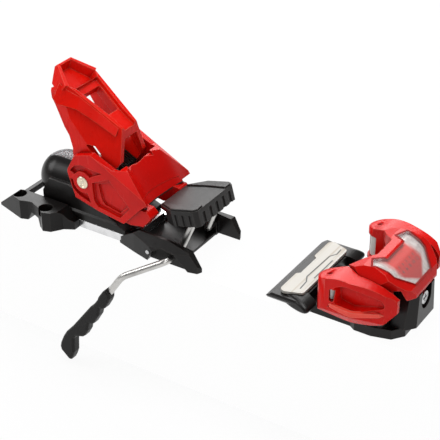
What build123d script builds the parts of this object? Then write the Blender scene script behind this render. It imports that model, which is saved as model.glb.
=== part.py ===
from build123d import *
import math
import os

# Alpine ski binding: toe piece, heel piece and ski brake, closed for skiing, brake down.
# +X points to the ski's tip, +Y to the skier's left, +Z up. Z = 0 is the ski's top face.
# The origin lies on that face, midway between the two toe rollers. Sizes in millimetres.
os.makedirs("parts", exist_ok=True)

# ---------------------------------------------------------------- fits
run_fit = 0.05          # radial clearance of a turning or sliding fit
play = 0.3              # space between faces that pass each other
side_play = 0.5         # space at each side of a lever between its cheeks
screw_fit = 0.4         # radial clearance of a screw in its hole

# ---------------------------------------------------------------- toe piece
roller_y = 35.0         # toe roller axis, from the middle
roller_r = 6.0
roller_low, roller_high = 19.5, 36.0
roller_pin_r = 1.6
hinge_x, hinge_y = 30.0, 20.0      # wing hinge
hinge_pin_r = 3.0
hub_r = 6.6
hub_low, hub_high = 16.0, 38.0
wing_low, wing_high = 14.0, 47.0
wing_wall = 4.0
finger_reach = 13.0     # wing finger tip, inwards from the wing hinge
finger_r = 3.5
finger_low, finger_high = 17.0, 29.0
toe_axis_z = 23.0       # spring and adjusting screw
toe_screw_r = 2.5
toe_screw_head_r = 4.6
yoke_wide, yoke_high, yoke_thick = 24.0, 12.0, 3.6
toe_wall_x, toe_wall_thick = 34.0, 2.0      # wall that the spring pushes against
toe_seat_x, toe_seat_thick = 46.2, 2.0      # washer at the spring's front end
toe_coil_r, toe_coil_wire_r, toe_coil_turns = 5.4, 1.1, 3.5
boot_toe_r = 34.5       # the boot's toe, seen from above
boot_toe_front_x = 14.0

toe_foot_top = 7.0
toe_foot_half = 25.0
toe_rear_x, toe_front_x = -44.0, 46.0
tower_top = 31.0
cap_skirt = 39.3        # lowest edge of the housing beside the wings
cap_wall = 2.4
lens_thick = 1.8
lens_fit = 0.15

afd_top = 17.0          # height of the plate that the boot's toe rests on
afd_plate_thick = 2.0
afd_rear_x, afd_front_x = -37.0, -21.2
afd_rear_half, afd_front_half = 36.5, 30.8
afd_travel = 5.0

# ---------------------------------------------------------------- heel piece
track_rear_x, track_front_x = -250.0, -163.0
track_half, track_high = 22.5, 6.0
track_floor, track_lip = 1.6, 1.4
lip_in = 6.0
jaw_x, jaw_z = -203.3, 41.8        # jaw axle
axle_r = 4.6
jaw_half = 27.0
jaw_plate = 5.5
lever_cheek = 5.2
body_half = 21.0
ear_in, ear_half = 8.4, 15.0
crank_r = 18.0          # release crank, axle to link pin
jaw_open = 35.0         # degrees from closed to open
link_pin_r = 2.5
link_play = 0.45        # the rod's eye is this much longer, up and down, than its pin needs
barrel_r, barrel_bore_r = 19.0, 10.2
barrel_z = 24.2
barrel_front_x, dome_x = -222.0, -240.0
heel_coil_r, heel_coil_wire_r, heel_coil_turns = 8.4, 1.4, 4.0
rod_r = 3.6
seat_x, seat_thick = -250.9, 2.6

bracket_high, bracket_deck = 15.5, 6.5

# ---------------------------------------------------------------- brake
brake_x, brake_z = -127.5, 5.5     # axis about which both arms turn
wire_r = 2.5
wire_bend = 4.5
leg_y = 16.5            # the wires rise to the pedal here
pedal_dx, pedal_dz = 14.0, 33.0    # pedal bar, from the brake axis
brake_floor = 2.0

# ---------------------------------------------------------------- holes for the ski screws
screw_r, screw_head_r = 2.75, 5.0
toe_hole_dx, toe_hole_dy = 26.0, 32.0      # rows of the toe's four screws, centred on the origin
heel_front_hole_x, heel_front_hole_y = -232.7, 34.8
heel_rear_hole_x, heel_rear_hole_y = -262.0, 29.0


def both_sides(half_outline):
    """The closed outline whose +Y half is given from rear to front, or front to rear."""
    return list(half_outline) + [(x, -y) for x, y in reversed(half_outline)]


def turned(x, z, degrees):
    """The point (x, z) turned about +Y, the sense in which a jaw closes."""
    angle = math.radians(degrees)
    return (x * math.cos(angle) + z * math.sin(angle),
            z * math.cos(angle) - x * math.sin(angle))


def swung(points, degrees):
    """Plan points turned about the left wing's hinge."""
    angle = math.radians(degrees)
    return [(hinge_x + (x - hinge_x) * math.cos(angle) - (y - hinge_y) * math.sin(angle),
             hinge_y + (x - hinge_x) * math.sin(angle) + (y - hinge_y) * math.cos(angle)) for x, y in points]


def across(half_outline):
    """Closed outline seen along the ski, symmetric about the middle, from its +Y half."""
    return half_outline + [(-y, z) for y, z in reversed(half_outline)]


# ================================================================ toe: base and boot plate
tower_low = both_sides([(36, 19), (46.5, 20), (52, 13)])
tower_upper = both_sides([(38, 14), (47, 16), (51.5, 11)])
with BuildPart() as toe_base:
    # foot, wider under the wings, with its corners cut back at the front
    with BuildSketch():
        with BuildLine():
            Polyline(both_sides([(toe_rear_x, 17), (toe_rear_x + 6, toe_foot_half), (11, toe_foot_half),
                                 (15, 27.6), (27, 27.6), (40, 24), (toe_front_x, 16)]), close=True)
        make_face()
    extrude(amount=toe_foot_top)
    # tower at the front that carries the adjusting screw's head
    for height, outline in ((toe_foot_top, tower_low), (tower_top, tower_upper)):
        with BuildSketch(Plane.XY.offset(height)):
            with BuildLine():
                Polyline(outline, close=True)
            make_face()
    loft(ruled=True)
    # cradle that the yoke slides on, and the walls before and behind it
    with BuildSketch(Plane.XY.offset(toe_foot_top)):
        with Locations((27.0, 0)):
            Rectangle(18.0, 24.0)
    extrude(amount=toe_axis_z - yoke_high / 2 - play - toe_foot_top)
    with BuildSketch(Plane.XY.offset(toe_foot_top)):
        with Locations((toe_wall_x + toe_wall_thick / 2, 0)):
            Rectangle(toe_wall_thick, 24.0)
    extrude(amount=tower_top - toe_foot_top)
    with BuildSketch(Plane.XY.offset(toe_foot_top)):
        with Locations((boot_toe_front_x - boot_toe_r, 0)):
            Circle(boot_toe_r + 1.8)
            Circle(boot_toe_r, mode=Mode.SUBTRACT)
        with Locations((boot_toe_front_x, 0)):
            Rectangle(20.0, 21.0, mode=Mode.INTERSECT)
    extrude(amount=34.0 - toe_foot_top)
    # post under each wing hinge
    with BuildSketch(Plane.XY.offset(toe_foot_top)):
        with Locations((hinge_x, hinge_y), (hinge_x, -hinge_y)):
            Circle(hub_r - 0.8)
    extrude(amount=hub_low - play - toe_foot_top)
    # holes: hinge pins, ski screws, adjusting screw, and the spring's open channel
    with BuildSketch(Plane.XY.offset(4.0)):
        with Locations((hinge_x, hinge_y), (hinge_x, -hinge_y)):
            Circle(hinge_pin_r)
    extrude(amount=hub_low, mode=Mode.SUBTRACT)
    with Locations((0, 0, toe_foot_top)):
        with GridLocations(toe_hole_dx, toe_hole_dy, 2, 2):
            Hole(screw_r + screw_fit, depth=toe_foot_top)
    with BuildSketch(Plane.YZ.offset(0)):
        with Locations((0, toe_axis_z)):
            Circle(toe_screw_r + play)
    extrude(amount=60.0, mode=Mode.SUBTRACT)
    with BuildSketch(Plane.YZ.offset(toe_wall_x + toe_wall_thick)):
        with Locations((0, toe_axis_z)):
            Circle(toe_coil_r + toe_coil_wire_r + side_play)
        with Locations((0, toe_axis_z + 10)):
            Rectangle(2 * (toe_coil_r + toe_coil_wire_r + side_play), 20.0)
    extrude(amount=30.0, mode=Mode.SUBTRACT)
toe_base.part.label = "toe_base"
export_step(toe_base.part, "parts/toe_base.step")

with BuildPart() as afd_carrier:
    carrier_low = toe_foot_top
    carrier_top = afd_top - afd_plate_thick - play
    # a deep bar with rounded-off ends, seen along the ski
    with BuildSketch(Plane.YZ.offset(-45.0)):
        with BuildLine():
            Polyline(across([(32, carrier_low), (35.8, carrier_low + 1.6), (38.0, carrier_top - 3.6),
                             (38.5, carrier_top - 1.6), (38.0, carrier_top)]), close=True)
        make_face()
    extrude(amount=25.5)
    # the front face leans back under the plate
    with BuildSketch(Plane.XZ.offset(-50.0)):
        with BuildLine():
            Polyline([(-45.5, carrier_low - 1), (-45.5, 11), (-39.5, carrier_top + 1), (-50, carrier_top + 1),
                      (-50, carrier_low - 1)], close=True)
        make_face()
    extrude(amount=100.0, mode=Mode.SUBTRACT)
    # slot along which the plate's tongue slides
    with BuildSketch(Plane.XY.offset(carrier_top - 4.0)):
        with Locations((-30.0, 0)):
            Rectangle(6.0 + 2 * play, 30.0 + 2 * afd_travel + 2 * play)
    extrude(amount=10.0, mode=Mode.SUBTRACT)
afd_carrier.part.label = "afd_carrier"
export_step(afd_carrier.part, "parts/afd_carrier.step")

with BuildPart() as afd_plate:
    with BuildSketch(Plane.XY.offset(afd_top - afd_plate_thick)):
        with BuildLine():
            Polyline(both_sides([(afd_rear_x, afd_rear_half), (afd_front_x, afd_front_half)]), close=True)
        make_face()
        fillet(vertices(), 3.5)
        # finger notch in the rear edge
        with BuildLine():
            Polyline(both_sides([(afd_rear_x - 1, 13.5), (afd_rear_x + 2.4, 10.5)]), close=True)
        make_face(mode=Mode.SUBTRACT)
    extrude(amount=afd_plate_thick)
    with BuildSketch(Plane.XY.offset(afd_top - afd_plate_thick - 3.2)):
        with Locations((-30.0, 0)):
            Rectangle(6.0, 30.0)
    extrude(amount=3.2)
afd_plate.part.label = "afd_plate"
export_step(afd_plate.part, "parts/afd_plate.step")

# ================================================================ toe: housing and lens
cap_plan = [(20, 10), (14, 16), (7.5, 24.5), (18, 30.5), (33, 30.5), (42, 26), (47, 22), (51, 15)]
cap_roof = [(4, 45), (8, 46.5), (18, 50.5), (26, 51.4), (34, 49.0), (48.7, 38.0), (52, 31)]


def cap_form(inset):
    """The housing's outer form, or the same form drawn in by inset all over."""
    with BuildPart() as form:
        with BuildSketch(Plane.XY.offset(24.0)):
            with BuildLine():
                Polyline(both_sides(cap_plan), close=True)
            make_face()
            if inset:
                offset(amount=-inset, kind=Kind.INTERSECTION)
        extrude(amount=40.0)
        with BuildSketch(Plane.XZ.offset(-60.0)):
            with BuildLine():
                Polyline([(-2, 20)] + [(x, z - inset * 1.15) for x, z in [(-2, 43)] + cap_roof]
                         + [(60, 20)], close=True)
            make_face()
        extrude(amount=120.0, mode=Mode.INTERSECT)
        # sloping shoulders along both sides
        with BuildSketch(Plane.YZ.offset(-10.0)):
            with BuildLine():
                Polyline(across([(34 - inset, 20), (34 - inset, 38), (30.5 - inset, 43.5), (24.5 - inset, 53)]),
                         close=True)
            make_face()
        extrude(amount=80.0, mode=Mode.INTERSECT)
    return form.part


cap_outer = cap_form(0.0)
cap_inner = cap_form(cap_wall)
lens_inner = cap_form(lens_thick)
lens_plan = [(27.5, 11.6), (19.5, 16.5), (23.5, 25), (38, 22), (48.2, 11)]

with BuildPart() as toe_housing:
    add(cap_outer)
    add(cap_inner, mode=Mode.SUBTRACT)
    # open below: the skirt ends above the wings' hubs, and comes lower at the front
    with BuildSketch(Plane.XZ.offset(-60.0)):
        with BuildLine():
            Polyline([(-5, 20), (-5, cap_skirt), (44, cap_skirt), (47.5, tower_top + play), (60, tower_top + play),
                      (60, 20)], close=True)
        make_face()
    extrude(amount=120.0, mode=Mode.SUBTRACT)
    # bosses over the wing hinges
    with BuildSketch(Plane.XY.offset(hub_high + play)):
        with Locations((hinge_x, hinge_y), (hinge_x, -hinge_y)):
            Circle(hub_r - 1.0)
    extrude(amount=9.0)
    with BuildSketch(Plane.XY.offset(hub_high - 1)):
        with Locations((hinge_x, hinge_y), (hinge_x, -hinge_y)):
            Circle(hinge_pin_r)
    extrude(amount=5.0, mode=Mode.SUBTRACT)
    # window for the lens
    with BuildSketch(Plane.XY.offset(36.0)):
        with BuildLine():
            Polyline(both_sides(lens_plan), close=True)
        make_face()
    extrude(amount=20.0, mode=Mode.SUBTRACT)
toe_housing.part.label = "toe_housing"
export_step(toe_housing.part, "parts/toe_housing.step")

with BuildPart() as toe_lens:
    add(cap_outer)
    add(lens_inner, mode=Mode.SUBTRACT)
    with BuildSketch(Plane.XY.offset(36.0)):
        with BuildLine():
            Polyline(both_sides(lens_plan), close=True)
        make_face()
        offset(amount=-lens_fit, kind=Kind.INTERSECTION)
    extrude(amount=20.0, mode=Mode.INTERSECT)
toe_lens.part.label = "toe_lens"
export_step(toe_lens.part, "parts/toe_lens.step")

# ================================================================ toe: wings and rollers
tip_r = 7.6             # rounded tip of a wing, about its roller
flank = [(17.5, roller_y + tip_r), (40, 37.7), (46, 32)]
# raised bar along the flank, kinked and pointed at both ends
with BuildPart() as flank_bar:
    with BuildSketch(Plane.XY.offset(wing_low)):
        with BuildLine():
            Polyline([(2, 30), (2, roller_y + tip_r)] + flank + [(40, 30)], close=True)
        make_face()
        offset(amount=0.9, kind=Kind.INTERSECTION)
    extrude(amount=20.0)
    with BuildSketch(Plane.XZ.offset(-34.0)):
        with BuildLine():
            Polyline([(2.5, 22.8), (5.5, 24.4), (19.5, 23.6), (33, 28.4), (37.5, 28.2), (34, 25.6), (20, 20.8),
                      (5.5, 21.4)], close=True)
        make_face()
    extrude(amount=-20.0, mode=Mode.INTERSECT)

with BuildPart() as wing_left:
    # plan: rounded tip round the roller, flank, and front end
    with BuildSketch(Plane.XY.offset(wing_low)):
        with BuildLine():
            CenterArc((0, roller_y), tip_r, 0, 360)
            Line((8, 25), (8, roller_y + tip_r))
        make_hull()
        with BuildLine():
            Polyline([(7.7, 25), (4, roller_y + tip_r)] + flank + [(46, 29), (38, 27)], close=True)
        make_face()
    extrude(amount=wing_high - wing_low)
    # side view: hollow-backed top, lower edge that rises towards the front
    with BuildSketch(Plane.XZ.offset(-60.0)):
        with BuildLine():
            Spline((-9, 40.2), (0, 43.0), (9, 45.6), (18, 45.4), (30, 44.2), (40, 41.0), (47, 35))
            Polyline((47, 35), (47, 28), (40, 20))
            Spline((40, 20), (29, 15.2), (16, 14.3), (4, 16.0), (-9, 17.6))
            Line((-9, 17.6), (-9, 40.2))
        make_face()
    extrude(amount=60.0, mode=Mode.INTERSECT)
    # the flank's lower band slants in
    for toward_x in (0.0, 0.18):
        split(bisect_by=Plane(origin=(17.5, roller_y + tip_r, 20.0), z_dir=(toward_x, 0.84, -0.53)),
              keep=Keep.BOTTOM)
    # the hinge hub, the web that joins it to the flank, and the finger that pushes the plunger
    with BuildSketch(Plane.XY.offset(hub_low)):
        with Locations((hinge_x, hinge_y)):
            Circle(hub_r)
        with BuildLine():
            Polyline([(hinge_x - hub_r, hinge_y), (hinge_x - hub_r - 3, 30), (hinge_x + hub_r + 2, 30),
                      (hinge_x + hub_r, hinge_y)], close=True)
        make_face()
    extrude(amount=hub_high - hub_low)
    with BuildSketch(Plane.XY.offset(finger_low)):
        with BuildLine():
            CenterArc((hinge_x, hinge_y - finger_reach), finger_r, 0, 360)
            Line((hinge_x - 3.3, hinge_y), (hinge_x + 3.3, hinge_y))
        make_hull()
    extrude(amount=finger_high - finger_low)
    # room for the housing's skirt while the wing swings out
    with BuildSketch(Plane.XY.offset(cap_skirt - 2 * play)):
        for angle in (0, 9, 18, 26):
            with BuildLine():
                Polyline(swung(both_sides(cap_plan), angle), close=True)
            make_face()
        offset(amount=0.7, kind=Kind.INTERSECTION)
    extrude(amount=20.0, mode=Mode.SUBTRACT)
    with BuildSketch(Plane.XY.offset(tower_top - play)):
        for angle in (12, 19, 26):
            with BuildLine():
                Polyline(swung(both_sides([(43.5, 25), (47, 22), (51, 15)]), angle), close=True)
            make_face()
        offset(amount=0.7, kind=Kind.INTERSECTION)
    extrude(amount=20.0, mode=Mode.SUBTRACT)
    # hollow flank: a pocket behind it, and a dished recess in the outer face
    with BuildSketch(Plane.XY.offset(19.0)):
        with BuildLine():
            Polyline([(11, 20), (11, 34), (21, 34), (21, 20)], close=True)
        make_face()
    extrude(amount=16.0, mode=Mode.SUBTRACT)
    with BuildSketch(Plane.XZ.offset(-roller_y - 1.0)):
        with BuildLine():
            Polyline([(9, 27.5), (8, 37.5), (15, 40), (37, 37), (41.5, 32), (34, 30.6), (19, 25.8)], close=True)
        make_face()
        fillet(vertices(), 2.4)
    extrude(amount=-12.0, taper=-18, mode=Mode.SUBTRACT)
    add(flank_bar.part)
    # upright slot in the wall outside the roller
    with BuildSketch(Plane.XZ.offset(-roller_y - 2.0)):
        with Locations((3.2, 29.0)):
            SlotOverall(10.5, 3.6, rotation=90)
    extrude(amount=-12.0, mode=Mode.SUBTRACT)
    # pocket for the roller, open towards the boot, with its pin's hole
    with BuildSketch(Plane.XY.offset(roller_low - play)):
        with BuildLine():
            CenterArc((0, roller_y), roller_r + play, 0, 360)
            Line((-14, roller_y - 6), (-6, roller_y - 16))
        make_hull()
    extrude(amount=roller_high - roller_low + 2 * play, mode=Mode.SUBTRACT)
    with Locations((0, roller_y, wing_high)):
        Hole(roller_pin_r)
    with Locations((hinge_x, hinge_y, wing_high)):
        Hole(hinge_pin_r + run_fit)
wing_left.part.label = "wing_left"
export_step(wing_left.part, "parts/wing_left.step")

with BuildPart() as wing_right:
    mirror(wing_left.part, about=Plane.XZ)
wing_right.part.label = "wing_right"
export_step(wing_right.part, "parts/wing_right.step")

with BuildPart() as roller_left:
    with BuildSketch(Plane.XY.offset(roller_low)):
        with Locations((0, roller_y)):
            Circle(roller_r)
            Circle(roller_pin_r + run_fit, mode=Mode.SUBTRACT)
    extrude(amount=roller_high - roller_low)
    chamfer(edges().filter_by(GeomType.CIRCLE).filter_by(lambda e: abs(e.radius - roller_r) < 0.01), 0.8)
roller_left.part.label = "roller_left"
export_step(roller_left.part, "parts/roller_left.step")

with BuildPart() as roller_right:
    mirror(roller_left.part, about=Plane.XZ)
roller_right.part.label = "roller_right"
export_step(roller_right.part, "parts/roller_right.step")

with BuildPart() as roller_pin_left:
    with BuildSketch(Plane.XY.offset(roller_low - 2.0)):
        with Locations((0, roller_y)):
            Circle(roller_pin_r)
    extrude(amount=roller_high - roller_low + 7.0)
roller_pin_left.part.label = "roller_pin_left"
export_step(roller_pin_left.part, "parts/roller_pin_left.step")

with BuildPart() as roller_pin_right:
    mirror(roller_pin_left.part, about=Plane.XZ)
roller_pin_right.part.label = "roller_pin_right"
export_step(roller_pin_right.part, "parts/roller_pin_right.step")

with BuildPart() as wing_hinge_pins:
    with BuildSketch(Plane.XY.offset(4.0)):
        with Locations((hinge_x, hinge_y), (hinge_x, -hinge_y)):
            Circle(hinge_pin_r)
    extrude(amount=hub_high - 4.0 + 4.0)
wing_hinge_pins.part.label = "wing_hinge_pins"
export_step(wing_hinge_pins.part, "parts/wing_hinge_pins.step")

# ================================================================ toe: release spring
yoke_front = hinge_x - finger_r - 0.2
yoke_rear = yoke_front - yoke_thick
with BuildPart() as toe_yoke:
    with BuildSketch(Plane.YZ.offset(yoke_rear)):
        with Locations((0, toe_axis_z)):
            RectangleRounded(yoke_wide, yoke_high, 2.0)
            Circle(toe_screw_r + run_fit, mode=Mode.SUBTRACT)
    extrude(amount=yoke_thick)
toe_yoke.part.label = "toe_yoke"
export_step(toe_yoke.part, "parts/toe_yoke.step")

def coil_points(start_x, room, radius, turns, axis_z):
    """Corner points of a coil spring's wire along X, a dozen short straight runs to each turn."""
    runs = round(12 * turns)
    return [
        (start_x + room * i / runs,
         radius * math.sin(math.pi * i / 6),
         axis_z + radius * math.cos(math.pi * i / 6))
        for i in range(runs + 1)
    ]


with BuildPart() as toe_spring:
    toe_coil_start = toe_wall_x + toe_wall_thick + toe_coil_wire_r + run_fit
    toe_coil_room = toe_seat_x - toe_coil_wire_r - run_fit - toe_coil_start
    with BuildLine() as toe_wire:
        Polyline(*coil_points(toe_coil_start, toe_coil_room, toe_coil_r, toe_coil_turns, toe_axis_z))
    with BuildSketch(Plane(origin=toe_wire.line @ 0, z_dir=toe_wire.line % 0)):
        RegularPolygon(toe_coil_wire_r, 8)
    sweep(transition=Transition.RIGHT)
toe_spring.part.label = "toe_spring"
export_step(toe_spring.part, "parts/toe_spring.step")

with BuildPart() as toe_spring_seat:
    with BuildSketch(Plane.YZ.offset(toe_seat_x)):
        with Locations((0, toe_axis_z)):
            Circle(toe_coil_r + toe_coil_wire_r)
        with Locations((0, toe_axis_z + 6)):
            Rectangle(9.0, 12.0)
        with Locations((0, toe_axis_z)):
            Circle(toe_screw_r + run_fit, mode=Mode.SUBTRACT)
    extrude(amount=toe_seat_thick)
    # tongue above the spring, the pointer under the lens
    with BuildSketch(Plane.YZ.offset(toe_seat_x + toe_seat_thick)):
        with Locations((0, toe_axis_z + 11)):
            Rectangle(9.0, 2.0)
    extrude(amount=-13.0)
toe_spring_seat.part.label = "toe_spring_seat"
export_step(toe_spring_seat.part, "parts/toe_spring_seat.step")

with BuildPart() as toe_adjust_screw:
    toe_head_x = toe_seat_x + toe_seat_thick + run_fit
    with BuildSketch(Plane.YZ.offset(yoke_rear + 0.2)):
        with Locations((0, toe_axis_z)):
            Circle(toe_screw_r)
    extrude(amount=toe_head_x - yoke_rear - 0.2)
    with BuildSketch(Plane.YZ.offset(toe_head_x)):
        with Locations((0, toe_axis_z)):
            Circle(toe_screw_head_r)
    extrude(amount=2.4)
    with BuildSketch(Plane.YZ.offset(toe_head_x + 2.4)):
        with Locations((0, toe_axis_z)):
            Rectangle(6.0, 1.3)
            Rectangle(1.3, 6.0)
    extrude(amount=-1.4, mode=Mode.SUBTRACT)
toe_adjust_screw.part.label = "toe_adjust_screw"
export_step(toe_adjust_screw.part, "parts/toe_adjust_screw.step")

# ================================================================ heel: track and bracket
flange_half = track_half - track_floor - play
neck_half = track_half - lip_in - play
with BuildPart() as heel_track:
    with BuildSketch(Plane.YZ.offset(track_rear_x)):
        with BuildLine():
            Polyline(across([(track_half, 0), (track_half, track_high)]), close=True)
        make_face()
        with BuildLine():
            Polyline(across([(track_half - track_floor, track_floor),
                             (track_half - track_floor, track_high - track_lip)]), close=True)
        make_face(mode=Mode.SUBTRACT)
        with BuildLine():
            Polyline(across([(track_half - lip_in, track_floor), (track_half - lip_in, track_high + 1)]), close=True)
        make_face(mode=Mode.SUBTRACT)
    extrude(amount=track_front_x - track_rear_x)
    # end stop bent up at the front, and the rack of slots that the length screw bites into
    with BuildSketch(Plane.XY):
        with Locations((track_front_x - 1.0, 0)):
            Rectangle(2.0, 30.0)
    extrude(amount=9.0)
    with BuildSketch(Plane.XY):
        with Locations((-226.0, 0)):
            with GridLocations(4.0, 1.0, 9, 1):
                Rectangle(1.8, 9.0)
    extrude(amount=track_floor, mode=Mode.SUBTRACT)
heel_track.part.label = "heel_track"
export_step(heel_track.part, "parts/heel_track.step")

with BuildPart() as heel_bracket:
    # plan of one side: rear foot, notch, front foot that runs in beside the track
    with BuildSketch():
        for side in (1, -1):
            with BuildLine():
                Polyline([(x, side * y) for x, y in [(-281, 27), (-281, 29.6), (-255.5, 37.2), (-249.5, 35),
                          (-246, 34.5), (-235, 39), (-231, 42), (-225, 40), (-219.5, 32), (-212.3, 28),
                          (-212.3, track_half + play), (-261, track_half + play), (-264, 24)]], close=True)
            make_face()
    extrude(amount=bracket_high)
    # side view: sloped rear, level deck, falling front
    with BuildSketch(Plane.XZ):
        with BuildLine():
            Polyline([(-281, 0), (-281, 2), (-265, bracket_high), (-222, bracket_high), (-216, 8), (-212, 6),
                      (-212, 0), (-236, 0), (-238, bracket_deck), (-247, bracket_deck), (-250, 0)], close=True)
        make_face()
    extrude(amount=60.0, both=True, mode=Mode.INTERSECT)
    # bar behind the housing that joins the two sides
    with BuildSketch(Plane.XY.offset(9.0)):
        with Locations((-262.5, 0)):
            Rectangle(3.4, 2 * track_half + 8.0)
    extrude(amount=4.5)
    # screw seats
    with Locations((heel_front_hole_x, heel_front_hole_y, bracket_high),
                   (heel_front_hole_x, -heel_front_hole_y, bracket_high),
                   (heel_rear_hole_x, heel_rear_hole_y, bracket_high),
                   (heel_rear_hole_x, -heel_rear_hole_y, bracket_high)):
        CounterBoreHole(screw_r + screw_fit, screw_head_r + play, bracket_high - bracket_deck - 3.0,
                        depth=bracket_high)
heel_bracket.part.label = "heel_bracket"
export_step(heel_bracket.part, "parts/heel_bracket.step")

head_seat_z = bracket_deck + 3.0
# ================================================================ heel: carriage with the spring barrel
carriage_rear_x, carriage_front_x = -246.0, -171.0
lever_out = jaw_half - jaw_plate - side_play
lever_in = lever_out - lever_cheek


def barrel_form(radius, front_x):
    """The spring barrel's round form with its domed rear end, of the given radius."""
    with BuildPart() as form:
        with BuildSketch(Plane.XZ):
            with BuildLine():
                Polyline((dome_x - radius, barrel_z), (front_x, barrel_z), (front_x, barrel_z + radius),
                         (dome_x, barrel_z + radius))
                RadiusArc((dome_x, barrel_z + radius), (dome_x - radius, barrel_z), -radius)
            make_face()
        revolve(axis=Axis((0, 0, barrel_z), (1, 0, 0)))
    return form.part


barrel_outer = barrel_form(barrel_r, barrel_front_x)
window_inner = barrel_form(barrel_r - 2.0, barrel_front_x + 1.0)
with BuildPart() as heel_carriage:
    # one section all along: flanges in the track, neck between its lips, skirt over them, body
    with BuildSketch(Plane.YZ.offset(carriage_rear_x)):
        with BuildLine():
            Polyline(across([(flange_half, track_floor + play), (flange_half, track_high - track_lip - play),
                             (neck_half, track_high - track_lip - play), (neck_half, track_high + play),
                             (track_half, track_high + play), (track_half, 11.5), (body_half, 13), (body_half, 34)]),
                     close=True)
        make_face()
    extrude(amount=carriage_front_x - carriage_rear_x)
    with BuildSketch(Plane.XZ):
        with BuildLine():
            Polyline([(-246, 0), (-171, 0), (-171, 9.5), (-186, 15), (-190, 28.5), (-216, 28.5), (-222, 31),
                      (-240, 31), (-246, 20)], close=True)
        make_face()
    extrude(amount=40.0, both=True, mode=Mode.INTERSECT)
    # spring barrel with its domed rear end
    add(barrel_outer)
    split(bisect_by=Plane.XY.offset(track_floor + play), keep=Keep.TOP)
    # ears that hold the jaw axle
    with BuildSketch(Plane.XZ.offset(-ear_half)):
        with BuildLine():
            CenterArc((jaw_x, jaw_z), 10.5, 0, 360)
            Line((-224, 18), (-191, 18))
        make_hull()
    extrude(amount=2 * ear_half)
    # slot for the crank and rod, spring bore, holes
    with BuildSketch(Plane.XZ.offset(-ear_in)):
        with BuildLine():
            Polyline([(-220.5, 17), (-220.5, 60), (-180, 60), (-180, 17)], close=True)
        make_face()
    extrude(amount=2 * ear_in, mode=Mode.SUBTRACT)
    with BuildSketch(Plane.YZ.offset(-226.0)):
        with Locations((0, barrel_z)):
            Circle(barrel_bore_r)
    extrude(amount=seat_x - 0.6 + 226.0, mode=Mode.SUBTRACT)
    with BuildSketch(Plane.YZ.offset(-226.5)):
        with Locations((0, barrel_z)):
            Circle(rod_r + run_fit)
    extrude(amount=20.0, mode=Mode.SUBTRACT)
    with BuildSketch(Plane.YZ.offset(-250.0)):
        with Locations((0, barrel_z)):
            Circle(5.4)
    extrude(amount=-12.0, mode=Mode.SUBTRACT)
    with BuildSketch(Plane.XZ.offset(-ear_half - 10)):
        with Locations((jaw_x, jaw_z)):
            Circle(axle_r + run_fit)
    extrude(amount=2 * ear_half + 20, mode=Mode.SUBTRACT)
    # window over the spring
    with BuildSketch(Plane.XY.offset(barrel_z)):
        with Locations((-239.0, 0)):
            RectangleRounded(24.0, 11.0, 2.5)
    extrude(amount=30.0, mode=Mode.SUBTRACT)
    # channel under the foot for the length screw
    with BuildSketch(Plane.YZ.offset(-260.0)):
        with Locations((0, 3.95)):
            Rectangle(5.0, 4.3)
    extrude(amount=60.0, mode=Mode.SUBTRACT)
heel_carriage.part.label = "heel_carriage"
export_step(heel_carriage.part, "parts/heel_carriage.step")

with BuildPart() as scale_window:
    add(barrel_outer)
    add(window_inner, mode=Mode.SUBTRACT)
    with BuildSketch(Plane.XY.offset(barrel_z)):
        with Locations((-239.0, 0)):
            RectangleRounded(24.0 - 2 * lens_fit, 11.0 - 2 * lens_fit, 2.5 - lens_fit)
    extrude(amount=30.0, mode=Mode.INTERSECT)
scale_window.part.label = "scale_window"
export_step(scale_window.part, "parts/scale_window.step")

with BuildPart() as length_screw:
    with BuildSketch(Plane.YZ.offset(carriage_rear_x - 1.5)):
        with Locations((0, track_floor + play + 2.0)):
            Circle(1.9)
    extrude(amount=44.0)
    with BuildSketch(Plane.YZ.offset(carriage_rear_x - 1.5)):
        with Locations((0, track_floor + play + 2.0)):
            Rectangle(2.8, 0.8)
    extrude(amount=1.5, mode=Mode.SUBTRACT)
length_screw.part.label = "length_screw"
export_step(length_screw.part, "parts/length_screw.step")

# ================================================================ heel: release crank, rod and spring
crank_start = -jaw_open / 2                 # the link pin swings evenly to both sides of straight down
pin_dx, pin_dz = turned(0, -crank_r, -crank_start)
link_x, link_z = jaw_x + pin_dx, jaw_z + pin_dz
with BuildPart() as jaw_axle:
    with BuildSketch(Plane.XZ):
        with Locations((jaw_x, jaw_z)):
            Circle(axle_r)
    extrude(amount=jaw_half + 0.4, both=True)
jaw_axle.part.label = "jaw_axle"
export_step(jaw_axle.part, "parts/jaw_axle.step")

with BuildPart() as release_crank:
    with BuildSketch(Plane.XZ.offset(4.0)):
        with BuildLine():
            CenterArc((jaw_x, jaw_z), 8.4, 0, 360)
            CenterArc((link_x, link_z), 5.0, 0, 360)
        make_hull()
        with Locations((jaw_x, jaw_z)):
            Circle(axle_r, mode=Mode.SUBTRACT)
        with Locations((link_x, link_z)):
            Circle(link_pin_r, mode=Mode.SUBTRACT)
    extrude(amount=ear_in - play - 4.0)
    mirror(about=Plane.XZ)
    # the two cheeks are one piece through the collar on the axle
    with BuildSketch(Plane.XZ):
        with Locations((jaw_x, jaw_z)):
            Circle(8.4)
            Circle(axle_r, mode=Mode.SUBTRACT)
    extrude(amount=4.0, both=True)
release_crank.part.label = "release_crank"
export_step(release_crank.part, "parts/release_crank.step")

with BuildPart() as link_pin:
    with BuildSketch(Plane.XZ):
        with Locations((link_x, link_z)):
            Circle(link_pin_r)
    extrude(amount=ear_in - play - 0.1, both=True)
link_pin.part.label = "link_pin"
export_step(link_pin.part, "parts/link_pin.step")

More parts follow.
